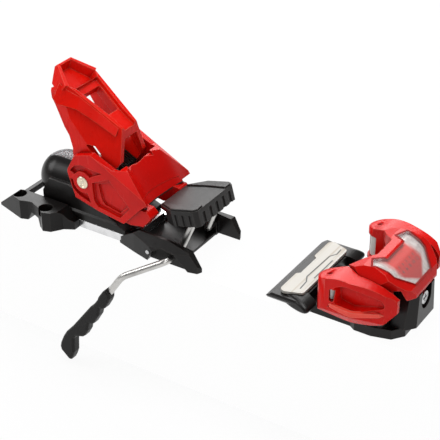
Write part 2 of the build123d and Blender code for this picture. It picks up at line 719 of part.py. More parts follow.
with BuildPart() as heel_rod:
    # eye with a hole a little higher than its pin
    with BuildSketch(Plane.XZ):
        with Locations((link_x, barrel_z)):
            Circle(5.2)
            SlotCenterToCenter(2 * link_play, 2 * (link_pin_r + run_fit), rotation=90, mode=Mode.SUBTRACT)
    extrude(amount=4.0 - play, both=True)
    with BuildSketch(Plane.YZ.offset(link_x - 4.0)):
        with Locations((0, barrel_z)):
            Circle(rod_r)
    extrude(amount=seat_x - 4.4 - link_x + 4.0)
heel_rod.part.label = "heel_rod"
export_step(heel_rod.part, "parts/heel_rod.step")

with BuildPart() as heel_spring_seat:
    with BuildSketch(Plane.YZ.offset(seat_x)):
        with Locations((0, barrel_z)):
            Circle(barrel_bore_r - 0.25)
            Circle(rod_r + run_fit, mode=Mode.SUBTRACT)
    extrude(amount=seat_thick)
    # pointer that shows in the window
    with BuildSketch(Plane.XY.offset(barrel_z + barrel_bore_r - 1.2)):
        with Locations((seat_x + seat_thick / 2 + 0.2, 0)):
            Rectangle(seat_thick - 0.4, 4.0)
    extrude(amount=3.2)
heel_spring_seat.part.label = "heel_spring_seat"
export_step(heel_spring_seat.part, "parts/heel_spring_seat.step")

with BuildPart() as heel_adjust_nut:
    with BuildSketch(Plane.YZ.offset(seat_x - run_fit)):
        with Locations((0, barrel_z)):
            RegularPolygon(5.2, 6)
            Circle(rod_r + run_fit, mode=Mode.SUBTRACT)
    extrude(amount=-4.2)
heel_adjust_nut.part.label = "heel_adjust_nut"
export_step(heel_adjust_nut.part, "parts/heel_adjust_nut.step")

with BuildPart() as heel_spring:
    coil_start = seat_x + seat_thick + heel_coil_wire_r + run_fit
    coil_room = -226.0 - heel_coil_wire_r - run_fit - coil_start
    with BuildLine() as heel_wire:
        Polyline(*coil_points(coil_start, coil_room, heel_coil_r, heel_coil_turns, barrel_z))
    with BuildSketch(Plane(origin=heel_wire.line @ 0, z_dir=heel_wire.line % 0)):
        RegularPolygon(heel_coil_wire_r, 8)
    sweep(transition=Transition.RIGHT)
heel_spring.part.label = "heel_spring"
export_step(heel_spring.part, "parts/heel_spring.step")

# ================================================================ heel: jaw
# slanted faces either side of the cup, through the crease's end and the rim's two ends
shoulder = Plane(origin=(-178.6, 26.1, 57.9), z_dir=(0.389, 0.519, 0.760))
shoulder_other = Plane(origin=(-178.6, -26.1, 57.9), z_dir=(0.389, -0.519, 0.760))
cup_r = 34.0            # the boot's heel, seen from above
with BuildPart() as heel_jaw:
    with BuildSketch(Plane.XZ):
        with BuildLine():
            Polyline([(-217, 47.7), (-209.6, 61.5), (-195.3, 65.7), (-177.2, 57.8), (-163, 57.3), (-147, 41.3),
                      (-154.5, 34), (-168.3, 19), (-191.6, 22.7), (-210.5, 27.7)], close=True)
        make_face()
        fillet(vertices().sort_by(Axis.X)[0], 6.0)
    extrude(amount=jaw_half, both=True)
    split(bisect_by=shoulder, keep=Keep.BOTTOM)
    split(bisect_by=shoulder_other, keep=Keep.BOTTOM)
    # open between the side plates, from the bridge back and under the cup
    with BuildSketch(Plane.XZ):
        with BuildLine():
            Polyline([(-230, 10), (-230, 80), (-174.0, 80), (-174.0, 34), (-166, 35), (-155, 38.7), (-150, 38),
                      (-140, 38), (-140, 10)], close=True)
        make_face()
    extrude(amount=jaw_half - jaw_plate, both=True, mode=Mode.SUBTRACT)
    # the cup that holds the boot's heel down
    with BuildSketch(Plane(origin=(-156.0 + cup_r, 0, 38.7), z_dir=(-0.565, 0, 0.825), x_dir=(0.825, 0, 0.565))):
        Circle(cup_r)
    extrude(amount=60.0, both=True, mode=Mode.SUBTRACT)
    # shallow saddle along the top of the bridge
    with BuildSketch(Plane.XZ):
        with BuildLine():
            Polyline([(-176, 56.3), (-160, 51.5), (-160, 70), (-176, 70)], close=True)
        make_face()
    extrude(amount=14.0, both=True, mode=Mode.SUBTRACT)
    # fingers under the boot's heel
    with BuildSketch(Plane.XZ.offset(15.0)):
        with BuildLine():
            Polyline([(-172, 19.7), (-163.7, 18.6), (-152.7, 20.7), (-145.9, 29.0), (-150, 33.3), (-158, 33.5),
                      (-172, 33.5)], close=True)
        make_face()
        fillet(vertices().group_by(Axis.X)[-1], 2.0)
    extrude(amount=jaw_half - 2.0 - 15.0)
    mirror(about=Plane.XZ)
    # pockets in the outer faces: two crescents round the axle's boss, and a deep one in front
    for side in (1, -1):
        with BuildSketch(Plane.XZ.offset(side * jaw_half)):
            with BuildLine():
                Polyline([(-214.2, 48.6), (-210.5, 53.0), (-204.5, 55.4), (-186.0, 53.6), (-196.0, 48.2),
                          (-203, 42)], close=True)
            make_face()
            with BuildLine():
                Polyline([(-214.6, 42.0), (-212.5, 34.5), (-207.0, 30.2), (-196.8, 26.9), (-198.2, 31.5),
                          (-203, 41)], close=True)
            make_face()
            with Locations((jaw_x, jaw_z)):
                Circle(8.4, mode=Mode.SUBTRACT)
            with BuildLine():
                Polyline([(-195.0, 43.8), (-180.0, 50.8), (-162.5, 33.0), (-171.4, 22.6), (-191.0, 25.8),
                          (-194.2, 30.0)], close=True)
            make_face()
        extrude(amount=-side * 2.2, taper=10, mode=Mode.SUBTRACT)
        with BuildSketch(Plane.XZ.offset(side * (jaw_half - 2.0))):
            with BuildLine():
                Polyline([(-191.4, 43.0), (-180.4, 48.4), (-165.5, 33.2), (-172.6, 25.2), (-186.0, 27.8),
                          (-188.6, 31.5)], close=True)
            make_face()
            fillet(vertices(), 1.2)
        extrude(amount=-side * 1.8, taper=10, mode=Mode.SUBTRACT)
    # axle hole
    with BuildSketch(Plane.XZ):
        with Locations((jaw_x, jaw_z)):
            Circle(axle_r)
    extrude(amount=jaw_half, both=True, mode=Mode.SUBTRACT)
heel_jaw.part.label = "heel_jaw"
export_step(heel_jaw.part, "parts/heel_jaw.step")

# ================================================================ heel: lever
lever_slope = math.radians(32.4)
lever_face = Plane(origin=(-208.0, 0, 100.2), x_dir=(math.cos(lever_slope), 0, -math.sin(lever_slope)),
                   z_dir=(math.sin(lever_slope), 0, math.cos(lever_slope)))
lever_wall = 3.4


def lever_side(side, depth):
    """The lever's long slanted side face, a given depth inside it."""
    normal = Vector(0.349, side * 0.890, 0.293)
    return Plane(origin=Vector(-213.5, side * 14.4, 103.5) - normal * depth, x_dir=(0.837, -side * 0.156, -0.525),
                 z_dir=normal)


# the hollow between the cheeks, narrower towards the lever's front lip
with BuildPart() as lever_hollow:
    with BuildSketch(Plane.XZ):
        with BuildLine():
            Polyline([(-241, 107), (-233, 104.5), (-212, 92), (-186, 75.5), (-178, 74), (-168, 66), (-168, 25),
                      (-241, 25)], close=True)
        make_face()
    extrude(amount=lever_in, both=True)
    for side in (1, -1):
        split(bisect_by=lever_side(side, lever_wall), keep=Keep.BOTTOM)

with BuildPart() as heel_lever:
    # seen from the side, standing on the axle's boss
    with BuildSketch(Plane.XZ):
        with BuildLine():
            Polyline([(-177.9, 58.9), (-180.4, 82.4), (-216, 105.5), (-235.4, 117.4), (-237.6, 115.5),
                      (-236.6, 109), (-234, 96.4), (-231, 93), (-217.6, 72.8), (-215, 63.5), (-215.7, 48),
                      (-203.3, 38), (-192.5, 38)], close=True)
        make_face()
        with Locations((jaw_x, jaw_z)):
            Circle(12.7)
    extrude(amount=lever_out, both=True)
    # the sides: slanted along the front, and drawn in at the far end
    for side in (1, -1):
        with BuildSketch(lever_side(side, 0)):
            with BuildLine():
                Polyline([(0, -30 * side), (60, -30 * side), (60, 60 * side), (-24, 60 * side)], close=True)
            make_face()
        extrude(amount=20.0, taper=-35, mode=Mode.SUBTRACT)
        split(bisect_by=Plane(origin=(-219, side * 18.8, 108), z_dir=(-0.297, side * 0.830, 0.473)),
              keep=Keep.BOTTOM)
        split(bisect_by=Plane(origin=(-219, side * 18.8, 108), z_dir=(-0.15, side * 0.985, 0.085)),
              keep=Keep.BOTTOM)
    add(lever_hollow.part, mode=Mode.SUBTRACT)
    # sunk strip between the rims, its window, and the dish for the pole's tip
    with BuildSketch(lever_face.offset(-2.4)):
        with BuildLine():
            Polyline(both_sides([(-9, 11.2), (18, 6.6), (21, 6.2), (34, 5.6)]), close=True)
        make_face()
    extrude(amount=12.0, taper=-20, mode=Mode.SUBTRACT)
    with BuildSketch(lever_face):
        with BuildLine():
            Polyline(both_sides([(-4.0, 9.6), (18.0, 5.6)]), close=True)
        make_face()
        fillet(vertices(), 1.2)
    extrude(amount=30.0, both=True, mode=Mode.SUBTRACT)
    with BuildSketch(lever_face.offset(0.5)):
        with BuildLine():
            Polyline(both_sides([(-31.0, 6.2), (-14.0, 15.2), (-9.6, 12.6)]), close=True)
        make_face()
    extrude(amount=-6.6, taper=22, mode=Mode.SUBTRACT)
    # see-through corner in each cheek, and the axle's bore
    with BuildSketch(Plane.XZ):
        with BuildLine():
            Polyline([(-204.0, 70.0), (-196.6, 69.2), (-190.6, 62.6), (-196, 61.5)], close=True)
        make_face()
        fillet(vertices(), 0.8)
        with Locations((jaw_x, jaw_z)):
            Circle(axle_r + run_fit)
    extrude(amount=lever_out, both=True, mode=Mode.SUBTRACT)
heel_lever.part.label = "heel_lever"
export_step(heel_lever.part, "parts/heel_lever.step")

# ================================================================ brake
rivet_x, rivet_z = -144.0, 7.4
with BuildPart() as brake_base:
    # plan, side view and cross-section, one cut by the other
    with BuildSketch():
        with BuildLine():
            Polyline(both_sides([(-174.6, 24.2), (-158.7, 28.9), (-139, 34), (-124.3, 33), (-105.6, 28.4),
                                 (-104.0, 24.5)]), close=True)
        make_face()
    extrude(amount=20.0)
    with BuildSketch(Plane.XZ):
        with BuildLine():
            Polyline([(-174.6, 0), (-174.6, 5), (-164, 12.5), (-156, 17.6), (-130, 17.2), (-111.7, 15), (-104.2, 3),
                      (-104.2, 0)], close=True)
        make_face()
    extrude(amount=50.0, both=True, mode=Mode.INTERSECT)
    with BuildSketch(Plane.YZ.offset(-180.0)):
        with BuildLine():
            Polyline(across([(35, 0), (34, 8), (33, 12), (25.5, 18)]), close=True)
        make_face()
    extrude(amount=90.0, mode=Mode.INTERSECT)
    # trough between the wings: floor, the bearings across it, and room for the track
    with BuildSketch(Plane.XY.offset(brake_floor)):
        with Locations((-140.0, 0)):
            Rectangle(90.0, 49.0)
    extrude(amount=30.0, mode=Mode.SUBTRACT)
    with BuildSketch():
        with Locations((brake_x + 5.0 + 15.0, 0)):
            Rectangle(30.0, 49.0)
    extrude(amount=30.0, mode=Mode.SUBTRACT)
    with BuildSketch():
        with Locations((track_front_x + play - 20.0, 0)):
            Rectangle(40.0, 2 * (track_half + side_play))
    extrude(amount=30.0, mode=Mode.SUBTRACT)
    for side in (1, -1):
        with BuildSketch(Plane.XZ.offset(side * (leg_y + wire_bend + play))):
            with Locations((brake_x, (brake_z + wire_r + 2.0) / 2)):
                Rectangle(11.0, brake_z + wire_r + 2.0)
        extrude(amount=side * (24.7 - leg_y - wire_bend - play))
    # bore for the wires, and the arch in each outer face in which the arm swings
    with BuildSketch(Plane.XZ):
        with Locations((brake_x, brake_z)):
            Circle(wire_r + run_fit)
    extrude(amount=40.0, both=True, mode=Mode.SUBTRACT)
    for side in (1, -1):
        with BuildSketch(Plane.XZ.offset(side * 28.0)):
            with BuildLine():
                Polyline([(brake_x - 20, -5), (brake_x - 12.5, 9.5), (brake_x - 6, 13), (brake_x + 5, 12),
                          (brake_x + 19, -5)], close=True)
            make_face()
        extrude(amount=side * 10.0, mode=Mode.SUBTRACT)
    with BuildSketch(Plane.XZ):
        with Locations((rivet_x, rivet_z)):
            Circle(1.5)
    extrude(amount=40.0, both=True, mode=Mode.SUBTRACT)
brake_base.part.label = "brake_base"
export_step(brake_base.part, "parts/brake_base.step")

bar_x, bar_z = brake_x + pedal_dx, brake_z + pedal_dz
with BuildPart() as brake_wire_left:
    with BuildLine() as wire_path:
        FilletPolyline([(bar_x, 0.6, bar_z), (bar_x, leg_y, bar_z), (brake_x, leg_y, brake_z),
                        (brake_x, 32.5, brake_z), (-150, 46, -4.4), (-160, 48, -22), (-186, 49.2, -68.8)],
                       radius=wire_bend)
    with BuildSketch(Plane(origin=wire_path.line @ 0, z_dir=wire_path.line % 0)):
        Circle(wire_r)
    sweep()
brake_wire_left.part.label = "brake_wire_left"
export_step(brake_wire_left.part, "parts/brake_wire_left.step")

with BuildPart() as brake_wire_right:
    mirror(brake_wire_left.part, about=Plane.XZ)
brake_wire_right.part.label = "brake_wire_right"
export_step(brake_wire_right.part, "parts/brake_wire_right.step")

grip_start, grip_tip = Vector(-160, 48, -22), Vector(-202, 50, -97.7)
grip_along = (grip_tip - grip_start).normalized()
grip_length = (grip_tip - grip_start).length
grip_plane = Plane(origin=grip_start, x_dir=grip_along, z_dir=Vector(0, 1, 0) - grip_along * grip_along.Y)
with BuildPart() as brake_grip_left:
    # flat paddle, its front edge scalloped
    with BuildSketch(grip_plane.offset(-4.5)):
        with BuildLine():
            Polyline([(4, -6), (4, 5), (20, 7.5), (70, 7.5), (grip_length, 3), (grip_length + 2, -3),
                      (grip_length - 6, -7.5), (20, -7.5)], close=True)
        make_face()
        with Locations(*[(26 + 11.5 * i, 9.5) for i in range(4)]):
            Circle(4.6, mode=Mode.SUBTRACT)
    extrude(amount=9.0)
    add(brake_wire_left.part, mode=Mode.SUBTRACT)
brake_grip_left.part.label = "brake_grip_left"
export_step(brake_grip_left.part, "parts/brake_grip_left.step")

with BuildPart() as brake_grip_right:
    mirror(brake_grip_left.part, about=Plane.XZ)
brake_grip_right.part.label = "brake_grip_right"
export_step(brake_grip_right.part, "parts/brake_grip_right.step")

pedal_plane = Plane(origin=(bar_x, 0, bar_z), x_dir=(math.cos(math.radians(14.6)), 0, math.sin(math.radians(14.6))),
                    z_dir=(-math.sin(math.radians(14.6)), 0, math.cos(math.radians(14.6))))
with BuildPart() as brake_pedal:
    with BuildSketch(pedal_plane.offset(-5.4)):
        with BuildLine():
            Polyline(both_sides([(-30, 15.9), (-15.4, 24.1), (3.2, 24.1), (6.0, 21.5)]), close=True)
        make_face()
    extrude(amount=11.8)
    # room for the wires' legs, open downwards
    with BuildSketch(pedal_plane.offset(-5.4)):
        for side in (1, -1):
            with Locations((wire_r + play - 18.0, side * (leg_y + (wire_r - wire_bend) / 2))):
                Rectangle(36.0, wire_bend + wire_r + 2 * play)
    extrude(amount=5.4 + wire_r + play, mode=Mode.SUBTRACT)
    # upright flutes in the front and the flanks, below the tread
    with BuildSketch(pedal_plane.offset(-5.4)):
        for y in (-16, -8, 0, 8, 16):
            with Locations((6.0, y)):
                Rectangle(1.6, 3.6)
        for side in (1, -1):
            with Locations((-11.5, side * 24.1), (-5.5, side * 24.1), (0.5, side * 24.1)):
                Rectangle(3.2, 1.6)
    extrude(amount=8.8, mode=Mode.SUBTRACT)
    with BuildSketch(Plane.XZ):
        with Locations((bar_x, bar_z)):
            Circle(wire_r + run_fit)
    extrude(amount=leg_y, both=True, mode=Mode.SUBTRACT)
brake_pedal.part.label = "brake_pedal"
export_step(brake_pedal.part, "parts/brake_pedal.step")

with BuildPart() as brake_pins:
    for side in (1, -1):
        with BuildSketch(Plane.XZ.offset(side * 27.0)):
            with Locations((rivet_x, rivet_z)):
                Circle(1.5)
        extrude(amount=side * 6.6)
brake_pins.part.label = "brake_pins"
export_step(brake_pins.part, "parts/brake_pins.step")
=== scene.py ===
# %% [markdown]
# # A downhill ski binding, from CAD solids to a studio picture
# The binding is two units on one ski. The toe piece holds the front of the boot between
# two spring-loaded wings, and the heel piece clamps the boot's heel and carries the brake.
# The solids, their sizes and their joints come from the CAD frame. This lesson gives every
# surface its finish and adds what the solids lack: printed lines and numerals, soft bends in
# the brake wire, scallops on the grips' front edge, a slot in each wing, and thin lips, pads
# and facets.

import math

import bmesh
import bpy
import numpy as np
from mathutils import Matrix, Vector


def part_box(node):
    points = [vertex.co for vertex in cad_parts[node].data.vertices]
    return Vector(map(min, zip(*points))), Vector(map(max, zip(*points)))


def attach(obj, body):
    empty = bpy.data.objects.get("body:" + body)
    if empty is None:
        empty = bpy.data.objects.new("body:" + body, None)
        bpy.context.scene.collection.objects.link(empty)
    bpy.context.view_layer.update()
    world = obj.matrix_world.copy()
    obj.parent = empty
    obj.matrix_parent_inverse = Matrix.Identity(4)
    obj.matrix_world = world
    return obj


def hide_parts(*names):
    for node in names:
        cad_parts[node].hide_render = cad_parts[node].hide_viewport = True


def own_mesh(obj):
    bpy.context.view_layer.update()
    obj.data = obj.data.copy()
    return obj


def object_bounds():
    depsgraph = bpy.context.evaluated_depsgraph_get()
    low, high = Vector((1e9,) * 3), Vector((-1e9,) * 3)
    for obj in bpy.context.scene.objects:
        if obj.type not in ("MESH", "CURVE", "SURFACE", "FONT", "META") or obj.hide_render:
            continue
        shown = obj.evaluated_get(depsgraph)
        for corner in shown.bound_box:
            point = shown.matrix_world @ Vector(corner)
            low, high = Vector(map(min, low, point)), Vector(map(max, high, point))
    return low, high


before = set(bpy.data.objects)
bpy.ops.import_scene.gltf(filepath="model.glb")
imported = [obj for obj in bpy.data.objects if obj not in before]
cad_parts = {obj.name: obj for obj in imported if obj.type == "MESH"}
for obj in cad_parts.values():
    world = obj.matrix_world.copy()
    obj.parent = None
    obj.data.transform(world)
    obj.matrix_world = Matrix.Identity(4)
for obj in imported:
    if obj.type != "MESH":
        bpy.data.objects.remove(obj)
cad_low, cad_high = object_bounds()
print("CAD box, mm:", [round(1000 * v, 1) for v in (*cad_low, *cad_high)])


# %% [markdown]
# ## Camera
# The binding is seen from the skier's right, a little behind, and from well above the ski.
# A long lens from under a metre away keeps the toe and heel in proportion. The camera is
# placed by an aim point and two angles, so each can be changed by itself.

# %% Camera
azimuth, elevation = math.radians(32.68), math.radians(31.56)
aim = np.array([-0.1046, -0.0010, 0.0300])
distance = 0.9014
view_line = np.array([
    -math.sin(azimuth) * math.cos(elevation),
    math.cos(azimuth) * math.cos(elevation),
    -math.sin(elevation),
])
camera_data = bpy.data.cameras.new("studio_camera")
camera_data.sensor_width = 36.0
camera_data.lens = 106.75
camera_data.dof.use_dof = False
camera = bpy.data.objects.new("studio_camera", camera_data)
camera.location = aim - distance * view_line
camera.rotation_euler = (math.pi / 2 - elevation, 0, azimuth)
bpy.context.scene.collection.objects.link(camera)
bpy.context.scene.camera = camera
print("camera at", [round(float(v), 3) for v in camera.location])


# %% [markdown]
# ## A way to write shader maths
# A material is a web of nodes. Wrapping a node's output in a small class lets the web be
# written as sums and products: `1 - mask * 0.3` adds its Math nodes by itself. Every other
# node comes from one function that takes its type, its settings and its sockets.

# %% Shader arithmetic
class Flow:
    """The output of a shader node, which adds Math nodes when Python does arithmetic with it."""

    def __init__(self, tree, socket):
        self.tree = tree
        self.socket = socket

    def maths(self, operation, first, second, clamp=False):
        node = add_node(self.tree, "ShaderNodeMath",
                        {"operation": operation, "use_clamp": clamp}, {0: first, 1: second})
        return Flow(self.tree, node.outputs[0])

    def __add__(self, other):
        return self.maths("ADD", self, other)

    def __sub__(self, other):
        return self.maths("SUBTRACT", self, other)

    def __rsub__(self, other):
        return self.maths("SUBTRACT", other, self)

    def __mul__(self, other):
        return self.maths("MULTIPLY", self, other)

    def __pow__(self, other):
        return self.maths("POWER", self, other)

    def clamped(self):
        return self.maths("ADD", self, 0.0, clamp=True)

    __radd__ = __add__
    __rmul__ = __mul__


def add_node(tree, kind, settings=None, sockets=None):
    """Adds a node to a tree: its settings first, then its sockets from numbers or other nodes."""
    node = tree.nodes.new(kind)
    for name, value in (settings or {}).items():
        setattr(node, name, value)
    for name, value in (sockets or {}).items():
        if isinstance(value, Flow):
            tree.links.new(value.socket, node.inputs[name])
        else:
            node.inputs[name].default_value = value
    return node


# %% [markdown]
# ## Patterns that every finish uses
# Moulded plastic, turned steel and plated sheet differ in how their fine surface looks, and
# all of it can be made of four things: noise at some size, streaks drawn out along one
# direction, a mask of the part's edges, where handling rubs a surface pale and a painted
# highlight lightens it, and a mask of its pockets, where painted shade darkens the colour.

# %% Pattern helpers
def place(tree, stretch=(1, 1, 1)):
    """Object coordinates in metres, multiplied by stretch."""
    where = add_node(tree, "ShaderNodeTexCoord")
    mapped = add_node(tree, "ShaderNodeMapping", {}, {
        "Vector": Flow(tree, where.outputs["Object"]), "Scale": stretch})
    return Flow(tree, mapped.outputs["Vector"])


def noise(tree, size, detail=3.0, stretch=(1, 1, 1), rough=0.5):
    """Noise from 0 to 1 whose lumps are about size metres across, drawn out by stretch."""
    node = add_node(tree, "ShaderNodeTexNoise", {}, {
        "Vector": place(tree, stretch), "Scale": 1.0 / size, "Detail": detail,
        "Roughness": rough})
    return Flow(tree, node.outputs["Fac"])


def along(tree, axis):
    """One object coordinate, 0, 1 or 2 for x, y or z, in metres."""
    split = add_node(tree, "ShaderNodeSeparateXYZ", {}, {"Vector": place(tree)})
    return Flow(tree, split.outputs[axis])


def smooth_between(tree, value, low, high):
    """0 below low and 1 above high, with a soft S curve between."""
    node = add_node(tree, "ShaderNodeMapRange", {"interpolation_type": "SMOOTHSTEP"}, {
        "Value": value, "From Min": low, "From Max": high})
    return Flow(tree, node.outputs["Result"])


def edge_mask(tree, radius):
    """1 at sharp edges: how far a bevelled normal of that radius leans from the true one."""
    soft = add_node(tree, "ShaderNodeBevel", {"samples": 4}, {"Radius": radius})
    true = add_node(tree, "ShaderNodeNewGeometry")
    dot = add_node(tree, "ShaderNodeVectorMath", {"operation": "DOT_PRODUCT"}, {
        0: Flow(tree, soft.outputs["Normal"]), 1: Flow(tree, true.outputs["Normal"])})
    return smooth_between(tree, 1 - Flow(tree, dot.outputs["Value"]), 0.01, 0.12)


def cavity_mask(tree, reach):
    """1 in the open and less in pockets and corners, judged within reach metres; it drives painted
    shade.
    """
    node = add_node(tree, "ShaderNodeAmbientOcclusion", {"samples": 6}, {"Distance": reach})
    return smooth_between(tree, Flow(tree, node.outputs["AO"]), 0.30, 0.95)


def mixed(tree, mask, one, two):
    """Colour one where the mask is 0 and colour two where it is 1."""
    node = add_node(tree, "ShaderNodeMix", {"data_type": "RGBA"}, {
        "Factor": mask, 6: one if isinstance(one, Flow) else (*one, 1.0),
        7: two if isinstance(two, Flow) else (*two, 1.0)})
    return Flow(tree, node.outputs[2])


def bump(tree, height, depth, bevel=None):
    """A normal tilted by a height pattern whose full range is depth metres, over a soft edge."""
    sockets = {"Height": height, "Distance": depth, "Strength": 1.0}
    if bevel:
        soft = add_node(tree, "ShaderNodeBevel", {"samples": 4}, {"Radius": bevel})
        sockets["Normal"] = Flow(tree, soft.outputs["Normal"])
    node = add_node(tree, "ShaderNodeBump", {}, sockets)
    return Flow(tree, node.outputs["Normal"])


def new_material(name):
    """An empty material and its node tree."""
    material = bpy.data.materials.new(name)
    material.use_nodes = True
    material.node_tree.nodes.clear()
    return material, material.node_tree


def close_surface(tree, sockets):
    """A Principled shader with the given sockets, joined to the material's output."""
    shader = add_node(tree, "ShaderNodeBsdfPrincipled", {}, sockets)
    add_node(tree, "ShaderNodeOutputMaterial", {}, {"Surface": Flow(tree, shader.outputs["BSDF"])})


# %% [markdown]
# ## Moulded plastics
# The red and black parts are glass-filled nylon, shot into a mould whose walls were
# spark-eroded to a fine satin. The grain is a few tenths of a millimetre. Edges come out
# slightly rounded and, after some handling, paler, and a painted highlight lightens them
# further. Pockets and corners get painted shade. A long slow noise stands for the
# colour's drift away from the gate, where the plastic entered the mould.

# %% Moulded plastic
def moulded(name, colour, edge_wear_and_highlight, roughness, grain=0.00035, depth=0.000012, bevel=0.0007,
            shine=0.25, pocket_shade=0.42):
    """Satin moulded plastic: base colour with drift, edges paler from wear and a painted highlight,
    painted shade in pockets, fine grain.
    """
    material, tree = new_material(name)
    drift = noise(tree, 0.035, 2.0)
    edges = edge_mask(tree, bevel)
    darker = tuple(0.86 * c for c in colour)
    base = mixed(tree, smooth_between(tree, drift, 0.35, 0.65), darker, colour)
    # Edges turn paler: partly handling wear, partly a painted highlight.
    base = mixed(tree, edges * 0.65, base, edge_wear_and_highlight)
    # Painted shade: pockets and corners darken by the pocket factor.
    base = mixed(tree, cavity_mask(tree, 0.006), tuple(pocket_shade * c for c in colour), base)
    fine = noise(tree, grain, 2.0, rough=0.6)
    scuffs = noise(tree, 0.004, 4.0, (1, 1, 0.4))
    close_surface(tree, {
        "Base Color": base,
        "Roughness": roughness + (scuffs - 0.5) * 0.12 + edges * 0.05,
        "Normal": bump(tree, fine, depth, bevel),
        "IOR": 1.5,
        "Specular IOR Level": shine,
    })
    return material


signal_red = moulded("signal_red_nylon", (0.64, 0.004, 0.002), (0.86, 0.13, 0.09), 0.26, shine=0.16)
lever_red = moulded("lever_red_nylon", (0.72, 0.007, 0.002), (0.92, 0.15, 0.08), 0.28, shine=0.14)
black_nylon = moulded("black_nylon", (0.0055, 0.0045, 0.0042), (0.060, 0.052, 0.048), 0.30,
                      shine=0.26)
pedal_black = moulded("pedal_elastomer", (0.010, 0.0085, 0.008), (0.070, 0.060, 0.055), 0.36,
                      grain=0.0005, depth=0.00002, shine=0.30)
grip_black = moulded("grip_nylon", (0.006, 0.0055, 0.005), (0.060, 0.055, 0.050), 0.40, shine=0.20)
roller_white = moulded("roller_acetal", (0.80, 0.79, 0.76), (0.92, 0.91, 0.89), 0.28, pocket_shade=0.9)
yoke_grey = moulded("yoke_nylon", (0.16, 0.16, 0.165), (0.32, 0.32, 0.32), 0.45)
pointer_red = moulded("pointer_red", (0.52, 0.012, 0.010), (0.72, 0.10, 0.08), 0.40)


# %% [markdown]
# ## Metals
# The rail is zinc-plated strip, drawn and so streaked along its length. The brake wire is
# nickelled spring wire, nearly smooth and a little dull. Screws and pins are turned and plated.
# A metal's colour is in its reflection, so streaks go into roughness and a shallow bump.

# %% Metal
def plated(name, colour, roughness, streak=(1, 1, 1), size=0.0006, depth=0.000004, bevel=0.0003):
    """Plated steel with fine streaks drawn along the axis whose stretch is small."""
    material, tree = new_material(name)
    lines = noise(tree, size, 3.0, streak, 0.6)
    cloud = noise(tree, 0.012, 3.0)
    dull = tuple(0.72 * c for c in colour)
    close_surface(tree, {
        "Base Color": mixed(tree, smooth_between(tree, cloud, 0.35, 0.75), colour, dull),
        "Metallic": 1.0,
        "Roughness": roughness + (lines - 0.5) * 0.18 + (cloud - 0.5) * 0.10,
        "Normal": bump(tree, lines, depth, bevel),
    })
    return material


rail_steel = plated("rail_zinc_plate", (0.78, 0.78, 0.79), 0.24, (0.02, 1, 1))
wire_steel = plated("brake_wire_nickel", (0.60, 0.59, 0.57), 0.36, size=0.004, depth=0.000001,
                    bevel=None)
screw_steel = plated("screw_zinc", (0.66, 0.66, 0.67), 0.30, size=0.0008)
spring_steel = plated("spring_wire", (0.52, 0.52, 0.53), 0.30, size=0.001)
axle_steel = plated("axle_steel", (0.80, 0.74, 0.64), 0.26, size=0.0007)


# %% [markdown]
# ## Clear covers
# The toe's lens and the heel's scale window are clear polycarbonate over the release
# scales. A clear part needs little pattern: a faint unevenness of its colour and its gloss. Its
# pale veil, which thickens where the surface turns away from the view, is a painted reflection.

# %% Clear plastic
def clear(name, veil_colour, reflection_veil):
    """Clear moulded plastic: a thin glossy veil of pale colour, a painted reflection, that thickens
    where the surface turns away.
    """
    material, tree = new_material(name)
    ripple = noise(tree, 0.006, 2.0)
    turned = add_node(tree, "ShaderNodeLayerWeight", {}, {"Blend": 0.5})
    # Painted reflection: the pale veil shows more where the surface turns away from the view.
    close_surface(tree, {
        "Base Color": mixed(tree, ripple, veil_colour, tuple(0.92 * c for c in veil_colour)),
        "Roughness": 0.05 + (ripple - 0.5) * 0.04,
        "IOR": 1.49,
        "Specular IOR Level": 0.5,
        "Alpha": (Flow(tree, turned.outputs["Facing"]) ** 3 * 0.6 + reflection_veil).clamped(),
    })
    return material


lens_clear = clear("lens_polycarbonate", (0.92, 0.80, 0.78), 0.05)
window_clear = clear("window_polycarbonate", (0.82, 0.84, 0.86), 0.10)


# %% [markdown]
# ## The sliding boot plate
# The boot's sole slides sideways on a low-friction plate. It is brushed and lacquered sheet,
# silvery, with faint warm bands brushed across the ski.

# %% Boot plate finish
def boot_plate_finish():
    """Brushed pale sheet: fine streaks across the ski and wider warm bands beside them."""
    material, tree = new_material("boot_plate_brushed")
    fine = noise(tree, 0.0005, 3.0, (1, 0.02, 1), 0.6)
    bands = noise(tree, 0.0030, 2.0, (1, 0.03, 1), 0.5)
    silver, warm = (0.45, 0.435, 0.40), (0.33, 0.285, 0.225)
    base = mixed(tree, smooth_between(tree, bands, 0.50, 0.62) * 0.7, silver, warm)
    close_surface(tree, {
        "Base Color": base,
        "Metallic": 0.15,
        "Roughness": 0.44 + (fine - 0.5) * 0.2,
        "Specular IOR Level": 0.25,
        "Normal": bump(tree, fine, 0.000005, 0.0003),
    })
    return material


plate_finish = boot_plate_finish()


# %% [markdown]
# ## Dressing the CAD nodes
# Each solid keeps its mesh and gets its finish in its material slots.

# %% Give each node its finish
finish_of = {
    signal_red: ["toe_housing", "wing_left", "wing_right", "heel_jaw"],
    lever_red: ["heel_lever"],
    black_nylon: ["toe_base", "afd_carrier", "heel_bracket", "heel_carriage", "brake_base"],
    pedal_black: ["brake_pedal"],
    grip_black: ["brake_grip_left", "brake_grip_right"],
    roller_white: ["roller_left", "roller_right"],
    yoke_grey: ["toe_yoke"],
    pointer_red: ["toe_spring_seat", "heel_spring_seat"],
    rail_steel: ["heel_track"],
    wire_steel: ["brake_wire_left", "brake_wire_right"],
    spring_steel: ["toe_spring", "heel_spring", "release_crank"],
    axle_steel: ["jaw_axle"],
    screw_steel: ["wing_hinge_pins", "roller_pin_left", "roller_pin_right", "toe_adjust_screw",
                  "length_screw", "link_pin", "heel_rod", "heel_adjust_nut", "brake_pins"],
    lens_clear: ["toe_lens"],
    window_clear: ["scale_window"],
    plate_finish: ["afd_plate"],
}
